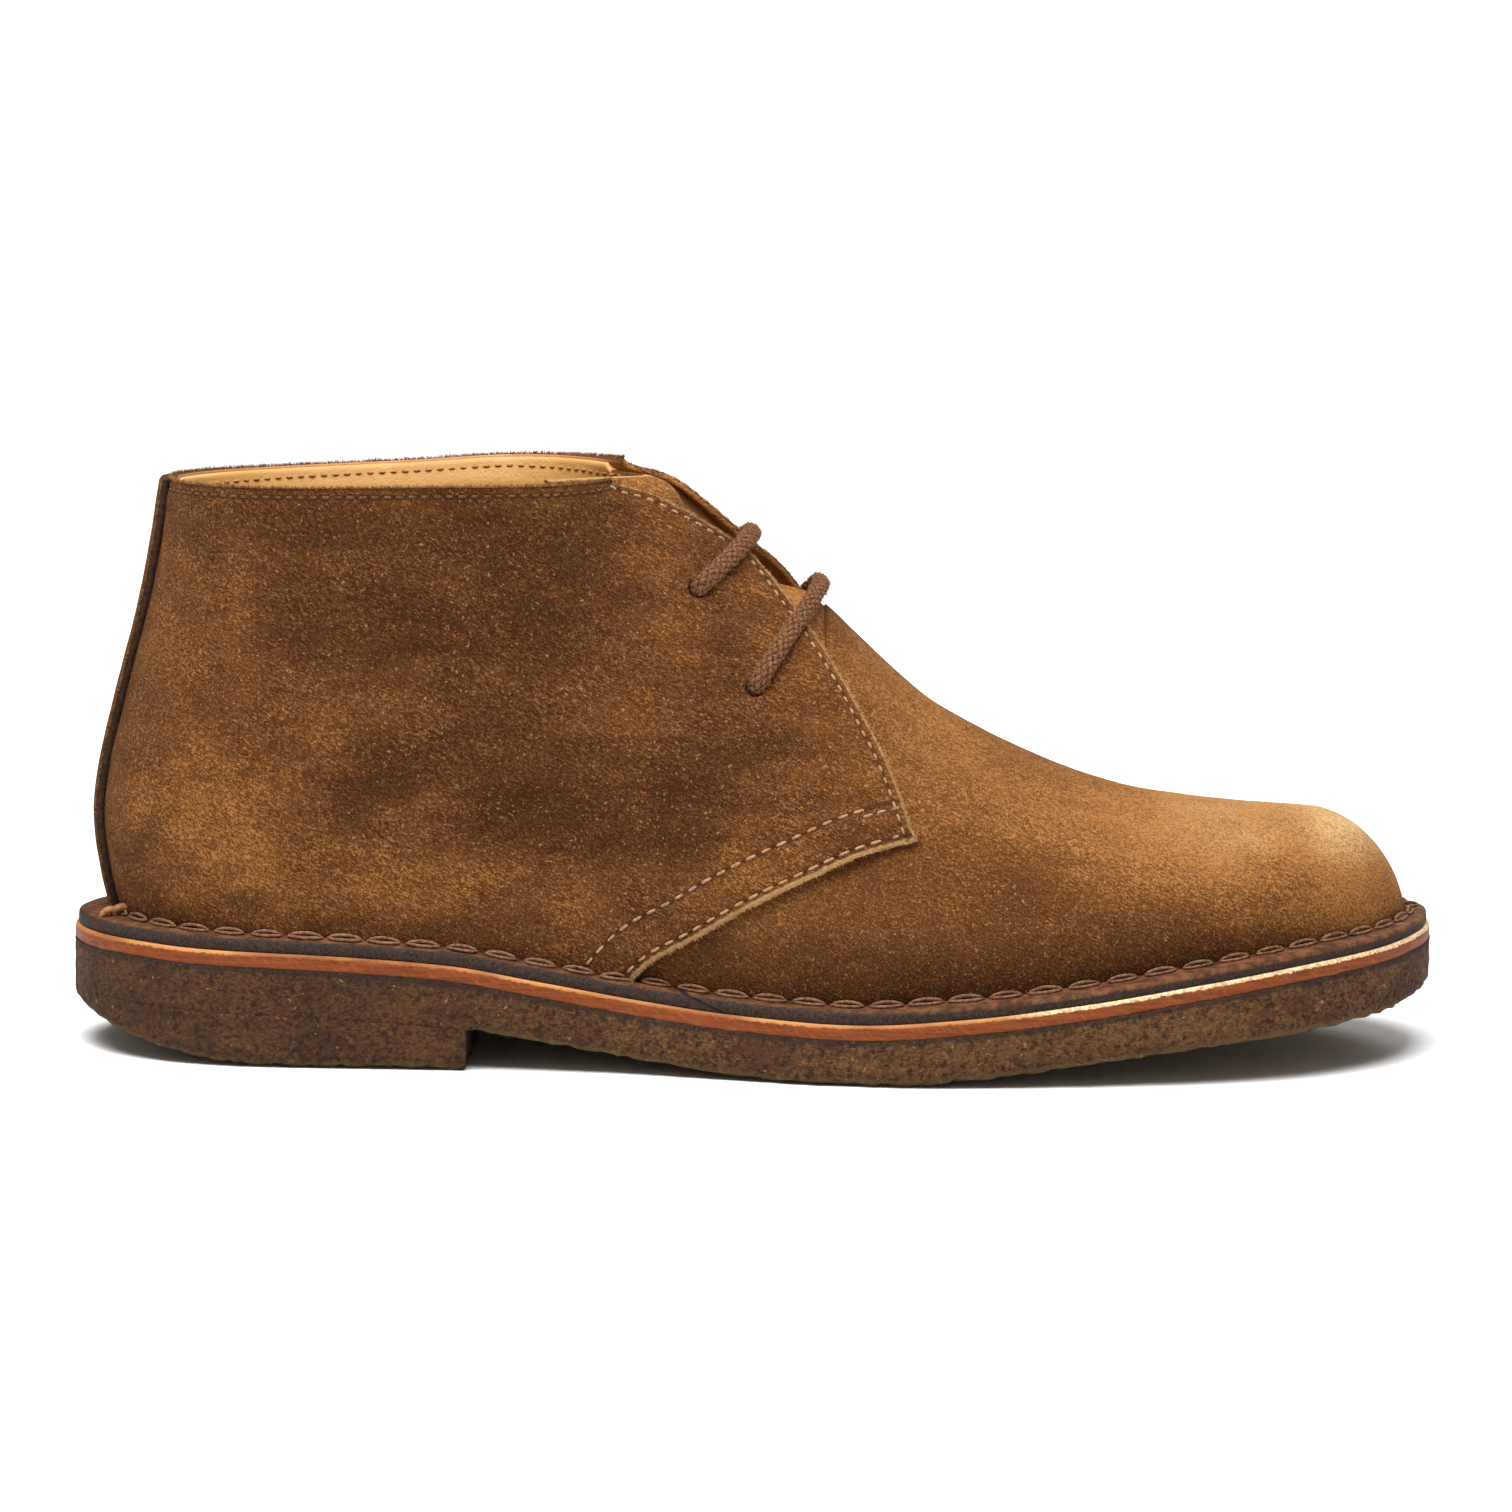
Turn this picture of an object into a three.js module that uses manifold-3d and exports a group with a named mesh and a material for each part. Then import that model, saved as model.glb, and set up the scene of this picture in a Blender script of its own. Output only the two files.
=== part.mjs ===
// A suede desert boot with two eyelets a side and a crepe sole, right foot, standing empty.
// Millimetres. The toe points to +X, the outer side to -Y, and the sole stands on z = 0.

import * as THREE from "three";
import Module from "manifold-3d";

const wasm = await Module();
wasm.setup();

// Driving sizes
const soleLength = 298;
const soleWidth = 107;
const upperLength = 284.5;
const heelMargin = 8.1;
const ballWidth = 100;
const heelWidth = 64;
const collarWidth = 65;
const collarHeight = 123;
const heelSpring = 13;
const toeSpring = 15;
const instepHeight = 82;
const toeHeight = 31.5;
const clearance = 0.3;

// Thicknesses
const crepeThickness = 9.9;
const ballGround = 9.4;
const midsoleThickness = 3;
const weltThickness = 2.8;
const insoleThickness = 2.6;
const vampWall = 1.4;
const quarterStep = 1.6;
const backstayThickness = 2;

// Sizes of single pieces
const midsoleInset = 0.3;
const weltInset = 0.9;
const heelBreast = 88;
const heelBevelLength = 46;
const heelBevelHeight = 9.3;
const crepeEdgeRadius = 2.2;
const toeCapLength = 21.3;
const soleHeelRounding = 64;
const soleToeRounding = 68;
const heelRounding = 54;
const toeRounding = 70;
const backstayWidth = 14;
const eyeletDiameter = 4.2;
const laceWidth = 4;
const laceThickness = 2.4;
const tongueProud = 1.6;
const formSkirt = 2.3;
const formCap = 16;

// Mesh fineness
const stationCount = 42;
const levelCount = 14;
const plankCount = 34;
const meshTolerance = 0.02;

// Height of the sole's top along the boot, in shares of the heel's and the toe's rise over the
// ball, and the crepe under it in shares of its thickness
const soleRise = [
  { along: 0.0, heel: 1.0, toe: 0, crepe: 1 },
  { along: 0.05, heel: 0.975, toe: 0, crepe: 1 },
  { along: 0.1, heel: 0.92, toe: 0, crepe: 1 },
  { along: 0.18, heel: 0.87, toe: 0, crepe: 1 },
  { along: 0.28, heel: 0.73, toe: 0, crepe: 1 },
  { along: 0.35, heel: 0.475, toe: 0, crepe: 0.96 },
  { along: 0.42, heel: 0.23, toe: 0, crepe: 0.96 },
  { along: 0.5, heel: 0.055, toe: 0, crepe: 0.98 },
  { along: 0.567, heel: 0, toe: 0, crepe: 1 },
  { along: 0.65, heel: 0, toe: 0.105, crepe: 1 },
  { along: 0.735, heel: 0, toe: 0.31, crepe: 0.97 },
  { along: 0.82, heel: 0, toe: 0.57, crepe: 1.05 },
  { along: 0.9, heel: 0, toe: 0.79, crepe: 1.17 },
  { along: 0.96, heel: 0, toe: 0.9, crepe: 1.14 },
  { along: 1.0, heel: 0, toe: 1.0, crepe: 1.06 },
];

// Plan of the sole: half widths as shares of the sole's width, and the middle line between them
const solePlan = [
  { along: 0.0, outer: 0.352, inner: 0.352, middle: 0 },
  { along: 0.14, outer: 0.352, inner: 0.352, middle: 0 },
  { along: 0.27, outer: 0.36, inner: 0.33, middle: 0 },
  { along: 0.38, outer: 0.378, inner: 0.305, middle: 0.005 },
  { along: 0.48, outer: 0.435, inner: 0.325, middle: 0.015 },
  { along: 0.56, outer: 0.486, inner: 0.392, middle: 0.025 },
  { along: 0.62, outer: 0.5, inner: 0.444, middle: 0.032 },
  { along: 0.73, outer: 0.482, inner: 0.5, middle: 0.045 },
  { along: 0.82, outer: 0.444, inner: 0.488, middle: 0.05 },
  { along: 0.9, outer: 0.4, inner: 0.458, middle: 0.055 },
  { along: 1.0, outer: 0.33, inner: 0.4, middle: 0.055 },
];

// Heel curve behind: how far each height lies in front of the rearmost point, in shares
const heelCurve = [
  { height: 0.16, forward: 0.36 },
  { height: 0.25, forward: 0.2 },
  { height: 0.32, forward: 0.075 },
  { height: 0.41, forward: 0 },
  { height: 0.5, forward: 0.09 },
  { height: 0.57, forward: 0.22 },
  { height: 0.68, forward: 0.44 },
  { height: 0.82, forward: 0.71 },
  { height: 1.0, forward: 0.95 },
  { height: 1.16, forward: 1.12 },
];
const heelCurveDepth = 15.6;

// Ridge of toe, instep and shin: lift 0 is the toe's height over the seat, lift 1 the instep's
const ridgeLine = [
  { along: 0.23, lift: 11.5 },
  { along: 0.27, lift: 7.5 },
  { along: 0.305, lift: 4.3 },
  { along: 0.335, lift: 2.72 },
  { along: 0.358, lift: 2.02 },
  { along: 0.38, lift: 1.7 },
  { along: 0.4, lift: 1.597 },
  { along: 0.428, lift: 1.545 },
  { along: 0.46, lift: 1.428 },
  { along: 0.491, lift: 1.292 },
  { along: 0.52, lift: 1.19 },
  { along: 0.546, lift: 1.08 },
  { along: 0.573, lift: 0.935 },
  { along: 0.6, lift: 0.787 },
  { along: 0.63, lift: 0.637 },
  { along: 0.66, lift: 0.525 },
  { along: 0.7, lift: 0.387 },
  { along: 0.75, lift: 0.237 },
  { along: 0.8, lift: 0.12 },
  { along: 0.85, lift: 0.045 },
  { along: 0.9, lift: -0.015 },
  { along: 1.0, lift: -0.1 },
];

// Sections of the last. seat, bulge and ankle are half widths, outer side then inner side, in
// shares of the heel's width for the rear rows and of the ball's width for the front rows; collar
// is a share of the collar's width. crown and start shape the arch over the bulge.
const rearSections = [
  { along: 0.0, seat: [0.48, 0.48], bulge: [0.505, 0.5], ankle: [0.47, 0.465], collar: 0.49,
    middle: 0, crown: 2, start: 0.3 },
  { along: 0.12, seat: [0.485, 0.485], bulge: [0.512, 0.505], ankle: [0.485, 0.48], collar: 0.495,
    middle: 0, crown: 2, start: 0.3 },
  { along: 0.25, seat: [0.505, 0.455], bulge: [0.52, 0.475], ankle: [0.5, 0.49], collar: 0.5,
    middle: 0.004, crown: 2, start: 0.3 },
  { along: 0.38, seat: [0.555, 0.41], bulge: [0.57, 0.44], ankle: [0.54, 0.49], collar: 0.51,
    middle: 0.016, crown: 1.9, start: 0.28 },
];
const frontSections = [
  { along: 0.5, seat: [0.44, 0.275], bulge: [0.46, 0.32], ankle: [0.42, 0.35], collar: 0.56,
    middle: 0.025, crown: 1.55, start: 0.24 },
  { along: 0.6, seat: [0.5, 0.36], bulge: [0.53, 0.4], ankle: [0.51, 0.42], collar: 0.6,
    middle: 0.035, crown: 1.6, start: 0.22 },
  { along: 0.7, seat: [0.5, 0.415], bulge: [0.53, 0.45], ankle: [0.53, 0.45], collar: 0.6,
    middle: 0.045, crown: 1.8, start: 0.24 },
  { along: 0.8, seat: [0.465, 0.405], bulge: [0.485, 0.425], ankle: [0.485, 0.425], collar: 0.6,
    middle: 0.05, crown: 2.1, start: 0.27 },
  { along: 0.9, seat: [0.42, 0.36], bulge: [0.437, 0.375], ankle: [0.437, 0.375], collar: 0.6,
    middle: 0.055, crown: 2.3, start: 0.28 },
  { along: 1.0, seat: [0.36, 0.33], bulge: [0.37, 0.34], ankle: [0.37, 0.34], collar: 0.6,
    middle: 0.055, crown: 2.3, start: 0.28 },
];
const bulgeLevel = 0.2;
const ankleLevel = 0.6;

// Side view of the quarter's front and lower edge: along from the heel, height over the floor,
// in shares of the upper's length and the collar's height
const outerQuarterEdge = [
  { along: 0.36, height: 1.3 },
  { along: 0.375, height: 1.03 },
  { along: 0.384, height: 0.998 },
  { along: 0.418, height: 0.967 },
  { along: 0.456, height: 0.917 },
  { along: 0.49, height: 0.858 },
  { along: 0.524, height: 0.768 },
  { along: 0.546, height: 0.7 },
  { along: 0.568, height: 0.618 },
  { along: 0.59, height: 0.528 },
  { along: 0.609, height: 0.425 },
];
const innerQuarterEdge = [
  { along: 0.375, height: 1.3 },
  { along: 0.388, height: 1.03 },
  { along: 0.403, height: 1.004 },
  { along: 0.43, height: 0.978 },
  { along: 0.462, height: 0.924 },
  { along: 0.492, height: 0.862 },
  { along: 0.52, height: 0.8 },
  { along: 0.546, height: 0.728 },
  { along: 0.568, height: 0.64 },
  { along: 0.59, height: 0.538 },
  { along: 0.609, height: 0.425 },
];
const quarterTip = { along: 0.613, height: 0.409 };
const quarterFoot = [
  { along: 0.575, height: 0.387 },
  { along: 0.53, height: 0.34 },
  { along: 0.486, height: 0.288 },
  { along: 0.449, height: 0.234 },
  { along: 0.419, height: 0.192 },
  { along: 0.39, height: 0.12 },
];

// Collar line: height over the floor on each side, in shares of the collar's height
const collarLine = [
  { along: 0.0, outer: 0.998, inner: 0.998 },
  { along: 0.08, outer: 0.996, inner: 1.002 },
  { along: 0.22, outer: 1.002, inner: 1.016 },
  { along: 0.3, outer: 1.005, inner: 1.028 },
  { along: 0.36, outer: 1.003, inner: 1.03 },
  { along: 0.45, outer: 1.003, inner: 1.02 },
];

// Eyelets and the ends of the lace bars, in the side view
const eyelets = {
  lower: { along: 0.4935, height: 0.655, crossing: 0.537 },
  upper: { along: 0.4485, height: 0.819, crossing: 0.484 },
};
const tongueFoot = 0.545;
const tongueOverlap = 11;

const rearOfUpper = -soleLength / 2 + heelMargin;
const tipOfUpper = rearOfUpper + upperLength;

// Monotone cubic through the rows of a table
function curveThrough(points) {
  const slopes = points.slice(1).map(([x, y], i) => (y - points[i][1]) / (x - points[i][0]));
  const tangents = points.map((point, i) => {
    if (i === 0) return slopes[0];
    if (i === points.length - 1) return slopes[i - 1];
    if (slopes[i - 1] * slopes[i] <= 0) return 0;
    return (2 * slopes[i - 1] * slopes[i]) / (slopes[i - 1] + slopes[i]);
  });
  return (x) => {
    let i = 0;
    while (i < points.length - 2 && x > points[i + 1][0]) i += 1;
    const [x0, y0] = points[i];
    const [x1, y1] = points[i + 1];
    const width = x1 - x0;
    const t = Math.min(Math.max((x - x0) / width, 0), 1);
    const bend = t * t * (3 - 2 * t);
    const lead = t * (1 - t) * (1 - t) * width * tangents[i];
    const trail = t * t * (t - 1) * width * tangents[i + 1];
    return y0 + (y1 - y0) * bend + lead + trail;
  };
}

function column(rows, name, size = 1) {
  return curveThrough(rows.map((row) => [row.along, row[name] * size]));
}

// Rounded end of a plan: 0 at the tip, 1 from one rounding length inwards
function endRounding(distance, length) {
  const t = Math.min(Math.max(distance / length, 0), 1);
  return Math.sqrt(1 - (1 - t) ** 3);
}

const soleAlong = (x) => (x + soleLength / 2) / soleLength;
const upperAlong = (x) => (x - rearOfUpper) / upperLength;
const sideX = (along) => rearOfUpper + along * upperLength;
const sideZ = (height) => height * collarHeight;

// Sole heights
const heelShare = column(soleRise, "heel");
const toeShare = column(soleRise, "toe");
function crepeTop(x) {
  const along = soleAlong(x);
  return ballGround + heelSpring * heelShare(along) + toeSpring * toeShare(along);
}
const crepeShare = column(soleRise, "crepe");
const crepeUnderside = (x) => crepeTop(x) - crepeThickness * crepeShare(soleAlong(x));
const crepeBottom = (x) => Math.max(0, crepeUnderside(x));
const midsoleBottom = (x) => crepeTop(x) + clearance;
const midsoleTop = (x) => midsoleBottom(x) + midsoleThickness;
const seat = (x) => midsoleTop(x) + clearance;
const weltTop = (x) => seat(x) + weltThickness;
const insoleTop = (x) => seat(x) + insoleThickness;

// Sole plan
const planOuter = column(solePlan, "outer", soleWidth);
const planInner = column(solePlan, "inner", soleWidth);
const planMiddle = column(solePlan, "middle", soleWidth);
function solePoint(x, side) {
  const along = soleAlong(x);
  const round = endRounding(x + soleLength / 2, soleHeelRounding)
    * endRounding(soleLength / 2 - x, soleToeRounding);
  const middle = planMiddle(along);
  const reach = side < 0 ? planOuter(along) + middle : planInner(along) - middle;
  return middle + side * reach * round;
}

// Stations bunch towards heel and toe, where the plan turns
function stations(count, from, to) {
  return Array.from({ length: count + 1 }, (_, i) => {
    const share = (1 - Math.cos((Math.PI * i) / count)) / 2;
    return from + (to - from) * share;
  });
}

// Manifold solid from vertices and triangles
function solidFrom(vertices, triangles) {
  const mesh = new wasm.Mesh({
    numProp: 3,
    vertProperties: new Float32Array(vertices.flat()),
    triVerts: new Uint32Array(triangles.flat()),
  });
  mesh.merge();
  return new wasm.Manifold(mesh);
}

const soleShape = {
  from: -soleLength / 2,
  to: soleLength / 2,
  middle: (x) => planMiddle(soleAlong(x)),
  edge: solePoint,
};

// Slab between two heights over x: rings from bottom to top, each an inset of the plan
function plank(rings, shape = soleShape) {
  const xs = stations(plankCount, shape.from, shape.to);
  const centre = (shape.from + shape.to) / 2;
  const last = xs.length - 1;
  const ringSize = 2 * last;
  const vertices = [];
  const triangles = [];
  for (const ring of rings) {
    const scale = 1 - (2 * ring.inset) / (shape.to - shape.from);
    const place = (x, side) => {
      const middle = shape.middle(x);
      const away = side * (shape.edge(x, side) - middle);
      const drawn = away > 1e-9 ? Math.max(away - ring.inset, away * 0.2) : 0;
      const shrunk = centre + (x - centre) * scale;
      return [shrunk, middle + side * drawn, ring.z(shrunk)];
    };
    for (let i = 0; i <= last; i += 1) vertices.push(place(xs[i], -1));
    for (let i = last - 1; i >= 1; i -= 1) vertices.push(place(xs[i], 1));
  }
  for (let r = 0; r < rings.length - 1; r += 1) {
    for (let i = 0; i < ringSize; i += 1) {
      const a = r * ringSize + i;
      const b = r * ringSize + ((i + 1) % ringSize);
      triangles.push([a, b, b + ringSize], [a, b + ringSize, a + ringSize]);
    }
  }
  const inner = (i) => (ringSize - i) % ringSize;
  const top = (rings.length - 1) * ringSize;
  for (let i = 0; i < last; i += 1) {
    const lower = [i, i + 1, inner(i + 1), inner(i)];
    if (i > 0) {
      triangles.push([lower[0], lower[3], lower[1]]);
      triangles.push([top + lower[0], top + lower[1], top + lower[3]]);
    }
    if (i < last - 1) {
      triangles.push([lower[1], lower[3], lower[2]]);
      triangles.push([top + lower[1], top + lower[2], top + lower[3]]);
    }
  }
  return solidFrom(vertices, triangles);
}

// Form of the upper
const rearRows = rearSections.map((row) => ({ ...row, size: heelWidth }));
const frontRows = frontSections.map((row) => ({ ...row, size: ballWidth }));
const sectionRows = [...rearRows, ...frontRows];
const sectionCurve = (pick) => curveThrough(sectionRows.map((row) => [row.along, pick(row)]));
const halfWidths = [0, 1].map((side) => ({
  seat: sectionCurve((row) => row.seat[side] * row.size),
  bulge: sectionCurve((row) => row.bulge[side] * row.size),
  ankle: sectionCurve((row) => row.ankle[side] * row.size),
  collar: sectionCurve((row) => row.collar * collarWidth),
}));
const middleLine = sectionCurve((row) => row.middle * ballWidth);
const crownPower = sectionCurve((row) => row.crown);
const crownStart = sectionCurve((row) => row.start);
const heelForward = curveThrough(heelCurve.map((row) => [row.height, row.forward]));
const ridgeLift = column(ridgeLine, "lift");

const formFloor = (x) => seat(x) - formSkirt;
const heelX = (z) => rearOfUpper + heelCurveDepth * heelForward(z / collarHeight);

function ridgeZ(x) {
  const past = Math.max(0, (x - (tipOfUpper - toeCapLength)) / toeCapLength);
  const cap = Math.sqrt(Math.max(0, 1 - past ** 2));
  const height = toeHeight + (instepHeight - toeHeight) * ridgeLift(upperAlong(x));
  return formFloor(x) + height * cap;
}

// Half width of the form at a point of the side view, side 0 outer and 1 inner
function halfWidth(side, x, z, share) {
  const along = upperAlong(x);
  const widths = halfWidths[side];
  const level = (z - formFloor(x)) / collarHeight;
  const profile = curveThrough([
    [0, widths.seat(along)],
    [bulgeLevel, widths.bulge(along)],
    [ankleLevel, widths.ankle(along)],
    [1, widths.collar(along)],
  ]);
  const ends = endRounding(x - heelX(z), heelRounding) * endRounding(tipOfUpper - x, toeRounding);
  const start = crownStart(along);
  const over = Math.min(Math.max((share - start) / (1 - start), 0), 1);
  return profile(level) * ends * Math.sqrt(Math.max(0, 1 - over ** crownPower(along)));
}

// One station of the form: its points from the floor to the ridge or the cap, in the side view
function meridian(share) {
  const xAt = (z) => {
    const back = heelX(z);
    return back + (tipOfUpper - back) * share;
  };
  const capZ = collarHeight + formCap;
  let low = formFloor(xAt(seat(0)));
  low = formFloor(xAt(low));
  let high = capZ;
  let open = true;
  if (ridgeZ(xAt(capZ)) < capZ) {
    open = false;
    let under = low;
    for (let step = 0; step < 50; step += 1) {
      const middle = (under + high) / 2;
      if (ridgeZ(xAt(middle)) > middle) under = middle;
      else high = middle;
    }
  }
  const points = [];
  for (let j = 0; j <= levelCount; j += 1) {
    const z = low + (high - low) * Math.sin((Math.PI / 2) * (j / levelCount));
    const x = xAt(z);
    const top = ridgeZ(x);
    const height = top - formFloor(x);
    let risen = height > 1e-6 ? (z - formFloor(x)) / height : 1;
    if (!open && j === levelCount) risen = 1;
    points.push({ x, z, risen });
  }
  return { points, open };
}

// Closed form of the whole upper, grown along its own normals
const baseForm = makeBaseForm();
function makeBaseForm() {
  const vertices = [];
  const walls = [];
  const caps = [];
  const grid = [];
  const shares = stations(stationCount, 0, 1);
  for (const share of shares) {
    const { points, open } = meridian(share);
    const row = points.map(({ x, z, risen }, j) => {
      const middle = middleLine(upperAlong(x));
      const width = [0, 1].map((side) => halfWidth(side, x, z, risen));
      const joined = share === 0 || share === 1 || (!open && j === levelCount);
      if (joined) {
        vertices.push([x, middle, z]);
        return [vertices.length - 1, vertices.length - 1];
      }
      vertices.push([x, middle - width[0], z], [x, middle + width[1], z]);
      return [vertices.length - 2, vertices.length - 1];
    });
    grid.push(row);
  }
  const add = (list, a, b, c) => {
    const same = a === b || b === c || a === c;
    if (!same) list.push([a, b, c]);
  };
  for (let i = 0; i < stationCount; i += 1) {
    for (let j = 0; j < levelCount; j += 1) {
      const [a, b] = [grid[i][j], grid[i + 1][j]];
      const [c, d] = [grid[i + 1][j + 1], grid[i][j + 1]];
      add(walls, a[0], b[0], c[0]);
      add(walls, a[0], c[0], d[0]);
      add(walls, a[1], c[1], b[1]);
      add(walls, a[1], d[1], c[1]);
    }
    const [foot, nextFoot] = [grid[i][0], grid[i + 1][0]];
    const [head, nextHead] = [grid[i][levelCount], grid[i + 1][levelCount]];
    add(caps, foot[0], foot[1], nextFoot[1]);
    add(caps, foot[0], nextFoot[1], nextFoot[0]);
    add(caps, head[0], nextHead[1], head[1]);
    add(caps, head[0], nextHead[0], nextHead[1]);
  }
  return { vertices, walls, caps, normals: wallNormals(vertices, walls) };
}

function wallNormals(vertices, walls) {
  const sums = vertices.map(() => new THREE.Vector3());
  const corner = (i) => new THREE.Vector3(...vertices[i]);
  for (const [a, b, c] of walls) {
    const edge = corner(b).sub(corner(a));
    const normal = edge.cross(corner(c).sub(corner(a)));
    for (const i of [a, b, c]) sums[i].add(normal);
  }
  return sums.map((sum) => sum.normalize());
}

function form(offset) {
  const { vertices, walls, caps, normals } = baseForm;
  const moved = vertices.map((point, i) => point.map((value, axis) => {
    return value + offset * normals[i].getComponent(axis);
  }));
  return solidFrom(moved, [...walls, ...caps]);
}

// Prism of a side view outline, between two depths
function sidePrism(points, fromY, toY) {
  const ring = points.map((point) => [sideX(point.along), sideZ(point.height)]);
  const flat = new wasm.CrossSection([ring], "NonZero");
  const upright = flat.extrude(toY - fromY).rotate([90, 0, 0]);
  return upright.translate([0, toY, 0]);
}

function box(from, to) {
  const size = to.map((value, axis) => value - from[axis]);
  return wasm.Manifold.cube(size).translate(from);
}

// Edge points of a table, with more points between its rows
function fineEdge(rows, steps) {
  const curve = new THREE.CatmullRomCurve3(
    rows.map((row) => new THREE.Vector3(row.along, row.height, 0)), false, "centripetal");
  return curve.getPoints(steps).map((point) => ({ along: point.x, height: point.y }));
}

function quarterPrism(frontRows, fromY, toY, grow) {
  const front = fineEdge(frontRows, 20);
  const foot = fineEdge([quarterTip, ...quarterFoot], 10);
  const outline = [
    { along: -0.1, height: 1.3 },
    { along: -0.1, height: -0.1 },
    { along: 0.38, height: -0.1 },
    ...foot.reverse(),
    ...front.reverse(),
  ].map((point) => ({
    along: point.along + grow / upperLength,
    height: point.height,
  }));
  return sidePrism(outline, fromY, toY);
}

const throatMiddle = middleLine(0.46);
function quarterZone(grow) {
  const outer = quarterPrism(outerQuarterEdge, -soleWidth, throatMiddle + 0.01, grow);
  const inner = quarterPrism(innerQuarterEdge, throatMiddle, soleWidth, grow);
  return outer.add(inner);
}

// Outside of the upper: the vamp's form with the quarters as a step on it
function outerBody(gap) {
  return form(gap).add(form(quarterStep + gap).intersect(quarterZone(gap)));
}

// Everything over a height that varies along the boot and across it
function above(heightAt, reachX = soleLength, reachY = soleWidth) {
  const columns = 60;
  const rows = 8;
  const lid = collarHeight * 2;
  const vertices = [];
  const triangles = [];
  for (let i = 0; i <= columns; i += 1) {
    for (let j = 0; j <= rows; j += 1) {
      const x = reachX * (i / columns - 0.5) * 1.1;
      const y = reachY * (j / rows - 0.5) * 1.2;
      vertices.push([x, y, heightAt(x, y)], [x, y, lid]);
    }
  }
  const at = (i, j, up) => 2 * (i * (rows + 1) + j) + up;
  const quad = (a, b, c, d) => triangles.push([a, b, c], [a, c, d]);
  for (let i = 0; i < columns; i += 1) {
    for (let j = 0; j < rows; j += 1) {
      quad(at(i, j, 1), at(i + 1, j, 1), at(i + 1, j + 1, 1), at(i, j + 1, 1));
      quad(at(i, j, 0), at(i, j + 1, 0), at(i + 1, j + 1, 0), at(i + 1, j, 0));
    }
    quad(at(i, 0, 0), at(i + 1, 0, 0), at(i + 1, 0, 1), at(i, 0, 1));
    quad(at(i, rows, 0), at(i, rows, 1), at(i + 1, rows, 1), at(i + 1, rows, 0));
  }
  for (let j = 0; j < rows; j += 1) {
    quad(at(0, j, 0), at(0, j, 1), at(0, j + 1, 1), at(0, j + 1, 0));
    quad(at(columns, j, 0), at(columns, j + 1, 0), at(columns, j + 1, 1), at(columns, j, 1));
  }
  return solidFrom(vertices, triangles);
}

const collarOuter = column(collarLine, "outer", collarHeight);
const collarInner = column(collarLine, "inner", collarHeight);
function collarZ(x, y) {
  const share = THREE.MathUtils.smoothstep(y, -collarWidth / 3, collarWidth / 3);
  const along = upperAlong(x);
  return collarOuter(along) + (collarInner(along) - collarOuter(along)) * share;
}

// Point and outward normal of the form at a side view place, side -1 outer and +1 inner
function surfacePoint(x, z, side, offset) {
  const at = (px, pz) => {
    const share = (pz - formFloor(px)) / (ridgeZ(px) - formFloor(px));
    const width = halfWidth(side < 0 ? 0 : 1, px, pz, share);
    return new THREE.Vector3(px, middleLine(upperAlong(px)) + side * width, pz);
  };
  const step = 0.05;
  const dx = at(x + step, z).sub(at(x - step, z));
  const dz = at(x, z + step).sub(at(x, z - step));
  const normal = new THREE.Vector3().crossVectors(dx, dz).normalize();
  if (normal.y * side < 0) normal.negate();
  return { point: at(x, z).addScaledVector(normal, offset), normal };
}

// Tongue zone: a band each side of the throat, from the collar down to the vamp's edge
function tongueZone(shrink) {
  const reach = (tongueOverlap - shrink) / collarHeight;
  const footAlong = tongueFoot - shrink / upperLength;
  const lid = 1.4;
  const half = (edge, fromY, toY) => {
    const rows = fineEdge(edge, 24).filter((point) => point.along < footAlong);
    const lowered = rows.map((point) => ({
      along: point.along - reach * 0.25,
      height: point.height - reach,
    }));
    const outline = [
      { along: rows[0].along - 0.03 + shrink / upperLength, height: lid },
      ...lowered,
      { along: footAlong, height: lowered.at(-1).height - 0.01 },
      { along: footAlong, height: lid },
    ];
    return sidePrism(outline, fromY, toY);
  };
  const outer = half(outerQuarterEdge, -soleWidth, throatMiddle + 0.01);
  const inner = half(innerQuarterEdge, throatMiddle, soleWidth);
  return outer.add(inner);
}

// Pieces

function makeOutsole() {
  return plank([
    { inset: crepeEdgeRadius, z: crepeBottom },
    { inset: crepeEdgeRadius * 0.3, z: (x) => crepeBottom(x) + crepeEdgeRadius * 0.6 },
    { inset: 0, z: (x) => crepeBottom(x) + crepeEdgeRadius * 1.6 },
    { inset: 0, z: crepeTop },
  ]);
}

function makeHeel() {
  const top = (x) => crepeUnderside(x) - clearance;
  const bevel = (x) => {
    const t = Math.max(0, 1 - (x + soleLength / 2) / heelBevelLength);
    return Math.min(heelBevelHeight * t * t, Math.max(0, top(x) - 3.2));
  };
  const breastX = -soleLength / 2 + heelBreast;
  const block = plank([
    { inset: crepeEdgeRadius, z: (x) => (x > breastX + 9 ? -1 : bevel(x)) },
    { inset: crepeEdgeRadius * 0.3, z: (x) => bevel(x) + crepeEdgeRadius * 0.6 },
    { inset: 0, z: (x) => bevel(x) + crepeEdgeRadius * 1.3 },
    { inset: 0, z: (x) => Math.max(top(x), bevel(x) + crepeEdgeRadius * 1.4) },
  ]);
  const keep = box([-soleLength, -soleWidth, 0], [breastX, soleWidth, soleLength]);
  return block.intersect(keep);
}

function makeMidsole() {
  return plank([
    { inset: midsoleInset, z: midsoleBottom },
    { inset: midsoleInset, z: midsoleTop },
  ]);
}

function makeWelt() {
  const strip = plank([
    { inset: weltInset, z: seat },
    { inset: weltInset, z: weltTop },
  ]);
  return strip.subtract(outerBody(clearance));
}

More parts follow.
